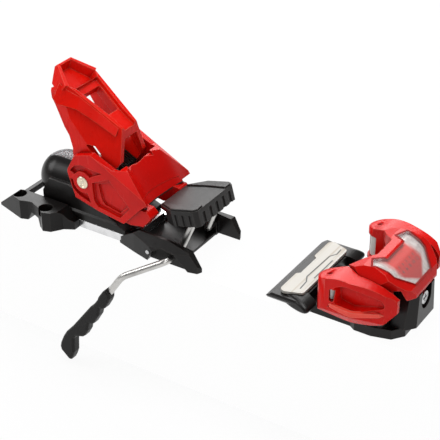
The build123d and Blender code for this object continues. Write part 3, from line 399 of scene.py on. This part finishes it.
for material, names in finish_of.items():
    for name in names:
        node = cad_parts[name]
        node.data.materials.clear()
        node.data.materials.append(material)
bare = sorted(set(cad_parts) - {n for names in finish_of.values() for n in names})
print("nodes without a finish:", bare)


# %% [markdown]
# ## From numbers to meshes
# Nearly every added piece is a grid of points worked out as whole arrays. One function turns
# a grid into a mesh, can close it round either way, and turns a closed form's faces outwards.
# A second one builds a plate over any closed outline: the outline is repeated at a few heights
# and drawn in a little at the top and bottom, which rounds the edges the way a mould does, and
# two many-sided faces close it.

# %% Grid and plate helpers
SIDES = (("left", 1.0), ("right", -1.0))


def link_piece(name, mesh, material, body=None):
    """Puts a finished mesh into the scene with its material, riding on a body if one is named."""
    mesh.update()
    mesh.materials.clear()
    mesh.materials.append(material)
    piece = bpy.data.objects.new(name, mesh)
    bpy.context.scene.collection.objects.link(piece)
    if body:
        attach(piece, body)
    return piece


def inside_out(points, quads):
    """Whether the faces of a capped grid point inwards.

    Each face adds twice its area times its outward distance from the middle. Over a closed form
    that comes to six times the volume, so a sum below zero means that the faces point inwards.
    """
    points = points - points.mean(axis=(0, 1))
    corner = points.reshape(-1, 3)[quads.reshape(-1, 4)]
    sides = np.sum(np.cross(corner[:, 2] - corner[:, 0], corner[:, 3] - corner[:, 1])
                   * corner.mean(axis=1))
    ends = sum(np.sum(np.cross(ring, np.roll(ring, -1, axis=0)) * ring.mean(axis=0))
               for ring in (points[0], points[-1][::-1]))
    return sides + ends < 0


def grid_object(name, points, material, close_u=False, close_v=False, body=None, caps=False,
                smooth=False):
    """A mesh over a grid of points, shape (rows, columns, 3), joined round or capped where asked."""
    rows, columns = points.shape[:2]
    index = np.arange(rows * columns).reshape(rows, columns)
    if close_u:
        index = np.vstack([index, index[:1]])
    if close_v:
        index = np.hstack([index, index[:, :1]])
    quads = np.stack([index[:-1, :-1], index[1:, :-1], index[1:, 1:], index[:-1, 1:]], axis=-1)
    faces = quads.reshape(-1, 4).tolist()
    if caps:
        faces += [index[0, :columns].tolist(), index[-1, :columns][::-1].tolist()]
        if inside_out(points, quads):
            faces = [face[::-1] for face in faces]
    mesh = bpy.data.meshes.new(name)
    mesh.from_pydata(points.reshape(-1, 3), [], faces)
    mesh.polygons.foreach_set("use_smooth", np.full(len(mesh.polygons), smooth))
    return link_piece(name, mesh, material, body)


def drawn_in(outline, inset):
    """A closed outline moved inwards: each corner slides along the mitre of its two edges."""
    edge = np.roll(outline, -1, axis=0) - outline
    edge = edge / np.linalg.norm(edge, axis=1, keepdims=True)
    inward = np.stack([-edge[:, 1], edge[:, 0]], axis=1)
    before = np.roll(inward, 1, axis=0)
    mitre = (inward + before) / (1 + np.sum(inward * before, axis=1, keepdims=True))
    return outline + inset * mitre


def mould_plate(name, outline, thick, edge, origin, across, up, material, body):
    """A plate over a closed outline in millimetres, edges rounded over a small radius.

    The outline's first number runs along `across`, its second along `up` x `across`, and the
    plate's thickness along `up`, half to each side of the origin.
    """
    across, up = np.array(across, float), np.array(up, float)
    across = across / np.linalg.norm(across)
    up = up / np.linalg.norm(up)
    sideways = np.cross(up, across)
    outline = np.array(outline, float)
    beyond = np.roll(outline, -1, axis=0)
    if np.sum(outline[:, 0] * beyond[:, 1] - outline[:, 1] * beyond[:, 0]) < 0:
        outline = outline[::-1]
    turn = np.radians([0, 30, 60, 90])
    inset = edge * (1 - np.sin(turn))
    height = -thick / 2 + edge * (1 - np.cos(turn))
    rings = np.stack([drawn_in(outline, d) for d in [*inset, *inset[::-1]]])
    level = np.array([*height, *-height[::-1]])
    points = (np.array(origin, float) + rings[..., :1] * across + rings[..., 1:] * sideways
              + level[:, None, None] * up)
    return grid_object(name, points / 1000, material, close_v=True, body=body, caps=True)


def rounded_route(corners, bend_length, steps=10):
    """A path in which a quadratic curve replaces each inner corner, bend_length to either side."""
    corners = np.array(corners, float)
    inner = corners[1:-1]
    back = corners[:-2] - inner
    ahead = corners[2:] - inner
    start = inner + bend_length * back / np.linalg.norm(back, axis=1, keepdims=True)
    end = inner + bend_length * ahead / np.linalg.norm(ahead, axis=1, keepdims=True)
    t = np.linspace(0, 1, steps)[None, :, None]
    curve = (1 - t) ** 2 * start[:, None] + 2 * t * (1 - t) * inner[:, None] + t ** 2 * end[:, None]
    return np.vstack([corners[:1], curve.reshape(-1, 3), corners[-1:]])


def round_tube(name, path, radius, reference, material, body, sides=24):
    """A round bar along a path in millimetres: a circle square to the path at each point."""
    forward = np.gradient(path, axis=0)
    forward = forward / np.linalg.norm(forward, axis=1, keepdims=True)
    first = np.array(reference, float) - forward * (forward @ np.array(reference, float))[:, None]
    first = first / np.linalg.norm(first, axis=1, keepdims=True)
    second = np.cross(forward, first)
    angle = np.linspace(0, 2 * np.pi, sides, endpoint=False)[None, :, None]
    points = path[:, None] + radius * (np.cos(angle) * first[:, None] + np.sin(angle) * second[:, None])
    return grid_object(name, points / 1000, material, close_v=True, body=body, caps=True, smooth=True)


# %% [markdown]
# ## Brake arms
# Each arm is one spring wire, bent so that it rises to the pedal, crosses under the wing and
# then drops beside the ski into a moulded grip. Here the solids' wire has longer, softer
# bends, and the grip has its finger scallops along the front edge and a notch before its tip.

# %% Brake wires
wire_route = np.array([(-113.5, 0.6, 38.5), (-113.5, 16.5, 38.5), (-127.5, 16.5, 5.5),
                       (-127.5, 33.5, 5.5), (-157.5, 46.0, -11.0), (-169.0, 48.0, -29.0),
                       (-175.6, 48.3, -41.0)])
wire_radius, bend_length = 2.5, 4.4
for side, mirror in SIDES:
    bends = rounded_route(wire_route * np.array([1.0, mirror, 1.0]), bend_length)
    wire = round_tube("brake_spring_wire_" + side, bends, wire_radius,
                      (0.90, -0.35 * mirror, 0.25), wire_steel, "brake_arms")
    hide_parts("brake_wire_" + side)
print("brake wires:", len(wire.data.polygons), "faces each")

# %% Brake grips
grip_outline = np.array([
    (6.4, -2.6), (10, -0.6), (14, 0), (20, 0), (22, -0.6), (23.8, -2.8), (27.2, -2.0), (31, -0.9),
    (40.5, -1.0), (42.6, -1.8), (43.8, -3.8), (46.8, -3.1), (51, -1.8), (57, -1.7), (59.6, -2.6),
    (64.9, -7.6), (67.8, -7.4), (73, -5), (79, -1.9), (84, -1.0), (87.6, -0.8), (88.8, -2.4),
    (87, -11.6), (84.7, -13.8), (81, -14.9), (73.8, -15.7), (68.3, -15.6), (58.5, -13.6), (30, -10.0),
    (27.3, -8.9), (19.5, -8.2), (16.3, -8.7), (9.4, -8.2), (5.2, -7.0)])
grip_top, grip_run = np.array([-160.0, 48.0, -22.0]), np.array([-42.0, 2.0, -75.7])
grip_thick, grip_edge = 8.0, 1.8
grip_tilt = -grip_run[1] / grip_run[2]
for side, mirror in SIDES:
    mirrored = np.array([1.0, mirror, 1.0])
    grip = mould_plate("brake_paddle_" + side, grip_outline * np.array([1.0, -mirror]), grip_thick,
                       grip_edge, grip_top * mirrored, grip_run * mirrored,
                       (0, mirror, grip_tilt), grip_black, "brake_arms")
    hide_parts("brake_grip_" + side)
print("grips:", len(grip.data.polygons), "faces each")


# %% [markdown]
# ## Printed lines on the boot plate
# Two thin black lines are printed along the plate, one long with a jog at each end and one
# short and straight. A printed line is a flat ribbon: at each corner its two edges are the
# corner moved along the mitre, so the width stays the same round every bend.

# %% Ribbons for printed lines
def matt_print(name, one, two, size, roughness, shine=0.5):
    """A matt colour that wanders between two tones, in patches about size metres across."""
    material, tree = new_material(name)
    close_surface(tree, {
        "Base Color": mixed(tree, noise(tree, size, 2.0), one, two),
        "Roughness": noise(tree, 0.001, 2.0) * 0.2 + roughness,
        "Specular IOR Level": shine,
    })
    return material


printed_black = matt_print("printed_black", (0.012, 0.012, 0.012), (0.035, 0.035, 0.035), 0.0006,
                           0.35)


def line_ribbon(name, corners, width, material, body, closed=False):
    """A flat ribbon along a path: each corner splits in two along its mitre in plan."""
    path = np.array(corners, float)
    step = np.diff(np.vstack([path, path[:1]]) if closed else path, axis=0)
    step = step / np.linalg.norm(step, axis=1, keepdims=True)
    into = np.roll(step, 1, axis=0) if closed else np.vstack([step[:1], step])
    out = step if closed else np.vstack([step, step[-1:]])
    normal_in = np.stack([-into[:, 1], into[:, 0], 0 * into[:, 0]], axis=1)
    normal_out = np.stack([-out[:, 1], out[:, 0], 0 * out[:, 0]], axis=1)
    scale = 1 + np.sum(normal_in * normal_out, axis=1, keepdims=True)
    mitre = (normal_in + normal_out) / np.maximum(scale, 0.35)
    edges = np.stack([path + mitre * width / 2, path - mitre * width / 2], axis=1)
    return grid_object(name, edges[::-1] / 1000, material, close_u=closed, body=body)


ink_lift = 0.04
plate_top = 1000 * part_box("afd_plate")[1].z + ink_lift
for name, corners in {
    "plate_line_long": [(-25.4, 29.0), (-25.0, 22.3), (-27.9, 17.4), (-28.8, -12.4), (-26.2, -17.8),
                        (-25.6, -27.2)],
    "plate_line_short": [(-23.7, 13.9), (-23.8, -11.7)],
}.items():
    line_ribbon(name, [(x, y, plate_top) for x, y in corners], 0.95, printed_black, "boot_plate")


# %% [markdown]
# ## Release scale under the lens
# The toe's setting is read off a printed tray that lies just under the lens. It is pale at
# its two ends and along its front, and red in the middle, where the numerals stand. The pale
# parts are partly print and partly a painted reflection of the lens. The tray keeps a set
# depth below the roof: across the ski its edges follow the window's outline, and
# along the ski its height is read off the roof's chain of slopes.

# %% Scale tray
roof_x = [4.0, 8.0, 18.0, 26.0, 34.0, 48.7, 52.0]
roof_z = [45.0, 46.5, 50.5, 51.4, 49.0, 38.0, 31.0]
window_rear = ([0, 11.6, 16.5, 25.0], [27.5, 27.5, 19.5, 23.5])
window_front = ([0, 11.0, 22.0, 25.0], [48.2, 48.2, 38.0, 23.6])


def below_roof(x, drop):
    """The roof's height at x less a drop, both in millimetres."""
    return np.interp(x, roof_x, roof_z) - drop


def scale_tray(name, drop, material, body):
    """A sheet inside the window's outline, x running from rear edge to front edge at each y."""
    y = np.linspace(-24.3, 24.3, 61)
    rear = np.interp(np.abs(y), *window_rear) - 0.4
    front = np.interp(np.abs(y), *window_front) + 0.2
    share = np.linspace(0, 1, 25)[:, None]
    x = rear * (1 - share) + front * share
    points = np.stack([x, np.broadcast_to(y, x.shape), below_roof(x, drop)], axis=-1)
    return grid_object(name, points / 1000, material, body=body, smooth=True)


def tray_finish():
    """Red in the middle with a soft edge, pale at the ends and along the front, partly print and partly
    painted reflection.
    """
    material, tree = new_material("scale_tray_print_and_reflection")
    across, ahead = along(tree, 1), along(tree, 0)
    off_centre = (across * across) ** 0.5
    cloud = noise(tree, 0.006, 3.0)
    # The pale ends and front band are partly print and partly painted reflection.
    ends = smooth_between(tree, off_centre + (cloud - 0.5) * 0.004, 0.0115, 0.0175)
    lip = smooth_between(tree, ahead + off_centre * 0.55, 0.0465, 0.0490)
    pale = (1 - (1 - ends) * (1 - lip)).clamped()
    rows = noise(tree, 0.0016, 2.0, (0.25, 1, 1))
    red = mixed(tree, smooth_between(tree, ahead, 0.026, 0.044), (0.80, 0.020, 0.006),
                (0.50, 0.004, 0.002))
    white = mixed(tree, smooth_between(tree, rows, 0.45, 0.60) * 0.6, (0.66, 0.62, 0.60),
                  (0.46, 0.40, 0.38))
    close_surface(tree, {
        "Base Color": mixed(tree, pale, red, white),
        "Roughness": cloud * 0.15 + 0.28,
        "Specular IOR Level": 0.2,
    })
    return material


tray_drop = 2.5
scale_tray("toe_scale_tray", tray_drop, tray_finish(), "base")


def turned_text(name, text, size, centre, across, up, material, body):
    """A word or numeral as a flat mesh, its reading direction along `across`."""
    data = bpy.data.curves.new(name, "FONT")
    data.body = text
    data.size = size
    data.align_x = data.align_y = "CENTER"
    writer = bpy.data.objects.new(name, data)
    mesh = bpy.data.meshes.new_from_object(writer)
    bpy.data.objects.remove(writer)
    flat = np.empty(3 * len(mesh.vertices))
    mesh.vertices.foreach_get("co", flat)
    flat = flat.reshape(-1, 3)
    across, up = np.array(across, float), np.array(up, float)
    turned = np.array(centre) + flat[:, :1] * across + flat[:, 1:2] * up
    mesh.vertices.foreach_set("co", (turned / 1000).ravel())
    return link_piece(name, mesh, material, body)


# %% Scale numerals
numeral_x, numeral_pitch, print_drop = 38.5, 4.8, tray_drop - 0.08
for place_in_row, number in enumerate((4, 6, 8, 10, 12)):
    y = numeral_pitch * (place_in_row - 2)
    turned_text(f"toe_scale_{number}", str(number), 3.4,
                (numeral_x, y, below_roof(numeral_x, print_drop)), (0, 1, 0), (-0.80, 0, 0.60),
                printed_black, "base")
    line_ribbon(f"toe_scale_tick_{number}",
                [(x, y, below_roof(x, print_drop)) for x in (34.6, 36.2)], 0.5, printed_black, "base")


# %% [markdown]
# ## Groove round the lens
# The lens sits in a moulded groove that shows as a thin deep red line in the housing, with a
# zigzag along its rear. A flat deep red ribbon, a painted shadow of the groove, follows the
# lens's outline at the housing's height: the roof is a chain of straight slopes along the ski,
# and its shoulders fall away to both sides.

# %% Lens groove
# Painted shadow: a flat deep red ribbon stands in for the groove's shade.
groove_painted_shadow = matt_print("groove_shadow_red", (0.20, 0.002, 0.002), (0.30, 0.006, 0.004), 0.002,
                        0.5, shine=0.1)
groove_half = np.array([(27.5, 11.6), (19.5, 16.5), (23.5, 25.0), (38.0, 22.0), (48.2, 11.0)])
groove_corners = np.vstack([groove_half, groove_half[::-1] * np.array([1, -1])])
shoulder_y, shoulder_z, shoulder_slope = 30.5, 43.5, 9.5 / 6


def shoulder_height(y):
    """The height of the housing's sloping shoulder at a distance y from the middle."""
    return shoulder_z + (shoulder_y - np.abs(y)) * shoulder_slope


steps = np.linspace(0, 1, 14, endpoint=False)[None, :, None]
groove_run = (groove_corners[:, None] * (1 - steps)
              + np.roll(groove_corners, -1, axis=0)[:, None] * steps).reshape(-1, 2)
groove_z = np.minimum(below_roof(groove_run[:, 0], 0), shoulder_height(groove_run[:, 1]))
line_ribbon("lens_groove", np.column_stack([groove_run, groove_z + 0.07]), 1.5, groove_painted_shadow, "base",
            closed=True)


# %% [markdown]
# ## Wing flanks
# A slot in each wing's outer wall lets the white roller show, and a raised bar with pointed
# ends runs along the flank's lower edge. The slot is cut from a copy of the solid's mesh
# with a Boolean, after its doubled points are merged. The bar is a row of sections along the
# ski, each with a low and a high edge and a flat crown between, and nearly a point at each end.

# %% Wing with its roller slot
def merged_copy(node_name):
    """A copy of a node's mesh with its doubled points merged."""
    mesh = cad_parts[node_name].data.copy()
    work = bmesh.new()
    work.from_mesh(mesh)
    bmesh.ops.remove_doubles(work, verts=work.verts, dist=0.000002)
    work.to_mesh(mesh)
    work.free()
    return mesh


def cut_by(mesh, cutter):
    """The mesh less the cutter object's solid, which is then removed."""
    holder = bpy.data.objects.new("holder", mesh)
    bpy.context.scene.collection.objects.link(holder)
    knife = holder.modifiers.new("cut", "BOOLEAN")
    knife.operation = "DIFFERENCE"
    knife.solver = "EXACT"
    knife.object = cutter
    bpy.context.view_layer.update()
    result = bpy.data.meshes.new_from_object(holder.evaluated_get(
        bpy.context.evaluated_depsgraph_get()))
    bpy.data.objects.remove(holder)
    bpy.data.objects.remove(cutter)
    return result


def stadium(x, z, half_width, half_height, sides=12):
    """An upright outline with round ends, anticlockwise, in millimetres."""
    turn = np.linspace(0, np.pi, sides)
    top = np.column_stack([x + half_width * np.cos(turn), z + half_height + half_width * np.sin(turn)])
    low = np.column_stack([x - half_width * np.cos(turn), z - half_height - half_width * np.sin(turn)])
    return np.vstack([top, low])


slot = stadium(x=5.0, z=32.0, half_width=1.7, half_height=3.0)
for side, mirror in SIDES:
    knife = np.stack([np.column_stack([slot[:, 0], np.full(len(slot), mirror * y), slot[:, 1]])
                      for y in (36.0, 47.0)])
    cutter = grid_object("slot_cutter", knife / 1000, signal_red, close_v=True, caps=True)
    shell = link_piece("wing_shell_" + side, cut_by(merged_copy("wing_" + side), cutter),
                       signal_red, "wing_" + side)
    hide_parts("wing_" + side)
    print(shell.name, len(shell.data.polygons), "faces")

# %% Raised bars
# The bar's red is a lighter copy of the wing's red: a painted sheen on the bar.
flank_bar_painted_sheen = moulded("flank_bar_red_painted_sheen", (0.86, 0.075, 0.050), (0.94, 0.30, 0.22), 0.26)
bar_x = np.array([3.4, 4.6, 12.0, 18.5, 20.5, 28.0, 37.2, 39.8])
bar_corners = [3.4, 4.6, 20.0, 37.2, 39.8]
bar_high = np.interp(bar_x, bar_corners, [25.2, 26.4, 25.4, 28.4, 26.8])
bar_low = np.interp(bar_x, bar_corners, [25.0, 23.4, 20.6, 24.8, 26.6])
flank_y = np.interp(bar_x, [0, 17.5, 40.0], [42.6, 42.6, 37.7])
proud = np.array([0.0, 1.0, 1.5, 1.5, 1.5, 1.5, 1.3, 0.0])
rooted = np.full(len(bar_x), -0.6)
bar_level = np.array([-1.0, -0.72, 0.72, 1.0])
bar = np.empty((len(bar_x), 4, 3))
bar[..., 0] = bar_x[:, None]
bar[..., 1] = flank_y[:, None] + np.stack([rooted, proud, proud, rooted], axis=1)
bar[..., 2] = ((bar_high + bar_low) / 2)[:, None] + bar_level * ((bar_high - bar_low) / 2)[:, None]
for side, mirror in SIDES:
    grid_object("flank_bar_" + side, bar * np.array([1.0, mirror, 1.0]) / 1000, flank_bar_painted_sheen,
                close_v=True, body="wing_" + side, caps=True)


# %% [markdown]
# ## Axle ends
# The jaw's axle ends in a turned head: a flat rim, a shallow ring and a centre dimple. It is
# a profile of radius against height, carried once round the axle.

# %% Axle heads
head_profile = np.array([(4.6, -0.3), (4.6, 0.15), (4.3, 0.4), (3.3, 0.45), (3.0, 0.15),
                         (1.9, 0.15), (1.6, 0.4), (1.1, 0.4), (0.7, 0.0), (0.05, -0.1)])


def turned_head(name, centre, outward, material, body):
    """A lathe form about the y axis: radius and height pairs, in millimetres, carried round."""
    radius, height = head_profile.T
    angle = np.linspace(0, 2 * np.pi, 48, endpoint=False)
    points = np.empty((len(radius), len(angle), 3))
    points[..., 0] = centre[0] + radius[:, None] * np.cos(angle)
    points[..., 1] = centre[1] + outward * height[:, None]
    points[..., 2] = centre[2] + radius[:, None] * np.sin(angle)
    return grid_object(name, points / 1000, material, close_v=True, body=body, caps=True)


axle_brass = plated("axle_head_brass", (0.86, 0.76, 0.58), 0.30, size=0.0007)
axle_low, axle_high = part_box("jaw_axle")
axle_centre = 500 * (np.array(axle_low) + np.array(axle_high))
axle_end = 1000 * axle_high.y
for side, outward in SIDES:
    turned_head("axle_head_" + side, (axle_centre[0], outward * axle_end, axle_centre[2]), outward,
                axle_brass, "jaw")


# %% [markdown]
# ## Rim of the heel cup
# The jaw's bridge ends below in a thin curved lip with a narrow black edge, which lies against
# the back of the boot. Both are part of a cylinder that leans back with the jaw: four corners
# of a wall's section are carried round the cylinder's axis.

# %% Heel cup lip
cup_centre = np.array([-122.0, 0, 38.7])
cup_axis, cup_back = np.array([-0.565, 0, 0.825]), np.array([-0.825, 0, -0.565])
cup_side = np.array([0, 1.0, 0])


def cup_strip(name, radii, depths, reach, material):
    """A wall round the cup's axis between two radii and two depths, reach degrees to each side."""
    turn = np.radians(np.linspace(-reach, reach, 49))[:, None, None]
    radius = np.array([radii[0], radii[0], radii[1], radii[1]])[:, None]
    depth = np.array([depths[1], depths[0], depths[0], depths[1]])[:, None]
    outward = np.cos(turn) * cup_back + np.sin(turn) * cup_side
    points = cup_centre + depth * cup_axis + radius * outward
    return grid_object(name, points / 1000, material, close_v=True, body="jaw", caps=True)


cup_strip("heel_cup_lip", radii=(34.15, 36.2), depths=(14.0, 25.0), reach=41, material=signal_red)
cup_strip("heel_cup_edge", radii=(34.3, 36.0), depths=(13.2, 14.0), reach=40, material=black_nylon)


# %% [markdown]
# ## Facet along the lever's side
# Below the lever's rim a long narrow facet leans out from the side and ends in a small step.
# It is a wedge: next to nothing along the rim and two millimetres along its lower edge, worked
# out on the plane of the lever's left side and mirrored for the right.

# %% Lever side facet
rim_line = np.array([(-226.5, 109.5), (-220.3, 105.3), (-211.4, 101.4), (-197.0, 92.0),
                     (-182.8, 82.6)])
step_line = np.array([(-228.6, 99.5), (-226.0, 95.8), (-211.9, 93.0), (-197.3, 85.2),
                      (-183.6, 77.2)])
side_point, side_normal = np.array([-213.5, 14.4, 103.5]), np.array([0.349, 0.890, 0.293])


def on_side(line, lift):
    """Points of the lever's left side at the given x and z, lifted off it along its normal."""
    flat = np.column_stack([line[:, 0], np.full(len(line), side_point[1]), line[:, 1]])
    flat[:, 1] -= (flat - side_point) @ side_normal / side_normal[1]
    return flat + lift * side_normal


facet = np.stack([on_side(rim_line, 0.05), on_side(step_line, 2.0), on_side(step_line, -0.4),
                  on_side(rim_line, -0.4)], axis=1)
for side, mirror in SIDES:
    grid_object("lever_facet_" + side, facet * np.array([1.0, mirror, 1.0]) / 1000, lever_red,
                close_v=True, body="lever", caps=True)


# %% [markdown]
# ## Ribbed insert under the lever
# Behind the jaw's bridge a black ribbed insert shows inside the lever's front opening. Its
# section across the ski is a row of square teeth on a flat back, carried down a slope.

# %% Ribbed insert
def toothed_section(half_width, teeth, height, back):
    """A closed outline: square teeth along y over a flat back, as y and height pairs."""
    pitch = 2 * half_width / teeth
    left = -half_width + pitch * np.arange(teeth)
    y = left[:, None] + pitch * np.array([0.1, 0.2, 0.7, 0.8])
    rise = np.broadcast_to([0, height, height, 0], (teeth, 4))
    top = np.column_stack([y.ravel(), rise.ravel()])
    return np.vstack([[-half_width, 0], top, [half_width, 0], [half_width, -back], [-half_width, -back]])


section = toothed_section(half_width=8.4, teeth=8, height=2.2, back=1.6)
slope_path = np.array([(-197.0, 57.0), (-181.5, 49.5)])
slope_up = np.array([0.436, 0.900])
insert = np.empty((2, len(section), 3))
insert[..., 0] = slope_path[:, :1] + section[:, 1] * slope_up[0]
insert[..., 1] = section[:, 0]
insert[..., 2] = slope_path[:, 1:] + section[:, 1] * slope_up[1]
grid_object("lever_ribbed_insert", insert / 1000, black_nylon, close_v=True, body="lever", caps=True)


# %% [markdown]
# ## Side pads on the pedal
# The boot presses on the pedal between two low pads that run along its sides. Each is a thin
# plate with rounded edges over the outline of the pedal's side, set on the tread's plane,
# which leans back by the pedal's angle.

# %% Pedal pads
pedal_lean = math.radians(14.6)
tread = np.array([math.cos(pedal_lean), 0, math.sin(pedal_lean)])
tread_up = np.array([-math.sin(pedal_lean), 0, math.cos(pedal_lean)])
pad_outline = np.array([(-28.6, 14.9), (-24.4, 15.0), (-12.0, 15.6), (5.2, 14.6), (5.4, 20.8),
                        (3.0, 23.4), (-15.2, 23.4), (-29.0, 15.6)])
pad_thick, pad_edge, pad_lift = 1.6, 0.6, 6.7
pedal_axis = np.array([-113.5, 0, 38.5])
for side, mirror in SIDES:
    mould_plate("pedal_pad_" + side, pad_outline * np.array([1.0, mirror]), pad_thick, pad_edge,
                pedal_axis + pad_lift * tread_up, tread, tread_up, pedal_black, "brake_pedal")


# %% [markdown]
# ## Rounded ends of the plate's carrier
# The black carrier under the boot plate ends in a plump, lens-shaped nose on each side. An
# ellipse is carried outwards and shrinks a little at the end, as a rounded edge does.

# %% Carrier noses
def carrier_nose(name, mirror):
    """An ellipse in x and z carried along y, sheared forwards, drawn in over its last stretch."""
    middle_x, middle_z, half_long, half_high, shear = -26.5, 11.0, 14.4, 4.8, 0.35
    angle = np.linspace(0, 2 * np.pi, 48, endpoint=False)
    y = np.array([24.0, 33.5, 35.0, 36.2, 36.9, 37.2])
    shrink = np.array([0.0, 0.0, 0.3, 0.9, 1.7, 2.6])[:, None]
    points = np.empty((len(y), len(angle), 3))
    points[..., 0] = middle_x + (half_long - shrink) * np.cos(angle)
    points[..., 1] = mirror * (y[:, None] + shear * (points[..., 0] - middle_x))
    points[..., 2] = middle_z + (half_high - shrink) * np.sin(angle)
    return grid_object(name, points / 1000, black_nylon, close_v=True, body="base", caps=True)


for side, mirror in SIDES:
    carrier_nose("carrier_nose_" + side, mirror)


# %% [markdown]
# ## Coil springs
# Both springs are wound from round wire. A coil is a circle carried along a helix, whose
# first and last turns lie flatter against their seats.

# %% Coil springs
def coil_spring(name, start_x, end_x, radius, wire, turns, axis_z, material, body):
    """A coil about the x axis: the angle runs evenly, and x runs slower near both ends."""
    share = np.linspace(0, 1, int(turns * 36))
    eased = share - 0.016 * np.sin(2 * np.pi * share)
    angle = 2 * np.pi * turns * share
    path = np.column_stack([start_x + (end_x - start_x) * eased, radius * np.cos(angle),
                            axis_z + radius * np.sin(angle)])
    return round_tube(name, path, wire, (1, 0.02, 0.03), material, body, sides=14)


for node, body, turns, wire, joint, fixed_x, keep in (
        ("toe_spring", "base", 3.5, 1.0, "wing_right_swing", 36.0, 0.43),
        ("heel_spring", "carriage", 4.0, 1.3, "jaw_swing", -226.0, 0.50)):
    low, high = (1000 * np.array(corner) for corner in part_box(node))
    radius = (high[1] - low[1]) / 2 - wire
    axis_z = (low[2] + high[2]) / 2
    coil = coil_spring(node + "_coil", low[0] + wire, high[0] - wire, radius, wire, turns, axis_z,
                       spring_steel, body)
    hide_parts(node)
    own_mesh(coil)


# %% [markdown]
# ## Studio
# A white floor lies just under the brake's tips, and a white board as narrow as a ski
# stands on it and carries both units. Both show mostly as their own white to the camera and
# to polished metal, and still take the binding's faint shadow.

# %% Floor, board and world
def white_stage(name, share):
    """White that the camera and reflections see at full strength, less a share that takes shadow."""
    material, tree = new_material(name)
    path = add_node(tree, "ShaderNodeLightPath")
    seen = Flow(tree, path.outputs["Is Camera Ray"]) + Flow(tree, path.outputs["Is Glossy Ray"])
    seen = (seen + Flow(tree, path.outputs["Is Transmission Ray"])).clamped()
    matt = add_node(tree, "ShaderNodeBsdfDiffuse", {}, {"Color": (0.80, 0.80, 0.80, 1)})
    glow = add_node(tree, "ShaderNodeEmission", {}, {"Color": (1, 1, 1, 1), "Strength": 1.0})
    both = add_node(tree, "ShaderNodeMixShader", {}, {
        "Fac": seen * share, 1: Flow(tree, matt.outputs[0]), 2: Flow(tree, glow.outputs[0])})
    add_node(tree, "ShaderNodeOutputMaterial", {}, {"Surface": Flow(tree, both.outputs[0])})
    return material


def flat_sheet(name, low, high, z, material):
    """A level sheet between two corners, facing up."""
    x, y = np.meshgrid([float(low[0]), float(high[0])], [float(low[1]), float(high[1])], indexing="ij")
    return grid_object(name, np.stack([x, y, np.full_like(x, z)], axis=-1), material)


floor_z, floor_half = cad_low[2] - 0.0005, 6.0
floor = flat_sheet("floor", (-floor_half, -floor_half), (floor_half, floor_half), floor_z,
                   white_stage("floor_white", 0.92))
print("floor at", round(1000 * floor_z, 1), "mm")


def board(name, low, high, material):
    """A box between two corners: four section points carried along x and capped at both ends."""
    points = np.empty((2, 4, 3))
    points[..., 0] = [[low[0]], [high[0]]]
    points[..., 1:] = [[low[1], low[2]], [high[1], low[2]], [high[1], high[2]], [low[1], high[2]]]
    return grid_object(name, points, material, close_v=True, caps=True)


board_rear, board_front, board_half, board_top = -0.32, 0.075, 0.030, -0.0002
ski_board = board("ski_board", (board_rear, -board_half, floor_z),
                  (board_front, board_half, board_top), white_stage("board_white", 0.97))

# %% World
world = bpy.data.worlds.new("studio_world")
world.use_nodes = True
world.node_tree.nodes.clear()
path = add_node(world.node_tree, "ShaderNodeLightPath")
seen = Flow(world.node_tree, path.outputs["Is Camera Ray"])
seen = (seen + Flow(world.node_tree, path.outputs["Is Transmission Ray"])).clamped()
sky = add_node(world.node_tree, "ShaderNodeBackground", {}, {
    "Color": (1, 1, 1, 1), "Strength": seen * 0.78 + 0.22})
add_node(world.node_tree, "ShaderNodeOutputWorld", {}, {
    "Surface": Flow(world.node_tree, sky.outputs[0])})
bpy.context.scene.world = world


# %% Colour management
bpy.context.scene.view_settings.view_transform = "Standard"


# %% [markdown]
# ## Lamps
# Product light is large and soft. A wide panel behind puts a broad sheen on the upward faces,
# one overhead gives the even level, one on the left opens the shadows, and a weak one in front
# keeps the black parts readable.

# %% Lamps
def soft_lamp(name, place_at, look_at, size, power):
    """A square area lamp of that size, turned to face a point."""
    data = bpy.data.lights.new(name, "AREA")
    data.shape = "SQUARE"
    data.size = size
    data.energy = power
    lamp = bpy.data.objects.new(name, data)
    line = np.array(look_at) - np.array(place_at)
    line = line / np.linalg.norm(line)
    lamp.location = place_at
    lamp.rotation_euler = (math.acos(-line[2]), 0, math.atan2(line[0], -line[1]) + math.pi)
    bpy.context.scene.collection.objects.link(lamp)


middle = (float(cad_low[0] + cad_high[0]) / 2, 0.0, 0.03)
soft_lamp("rear_panel", (-0.65, 0.86, 0.72), middle, 0.9, 12.0)
soft_lamp("overhead_panel", (-0.10, 0.10, 1.30), middle, 0.7, 11.0)
soft_lamp("left_panel", (-1.10, -0.45, 0.70), middle, 0.6, 6.0)
soft_lamp("front_panel", (0.65, -0.90, 0.70), middle, 0.5, 4.0)
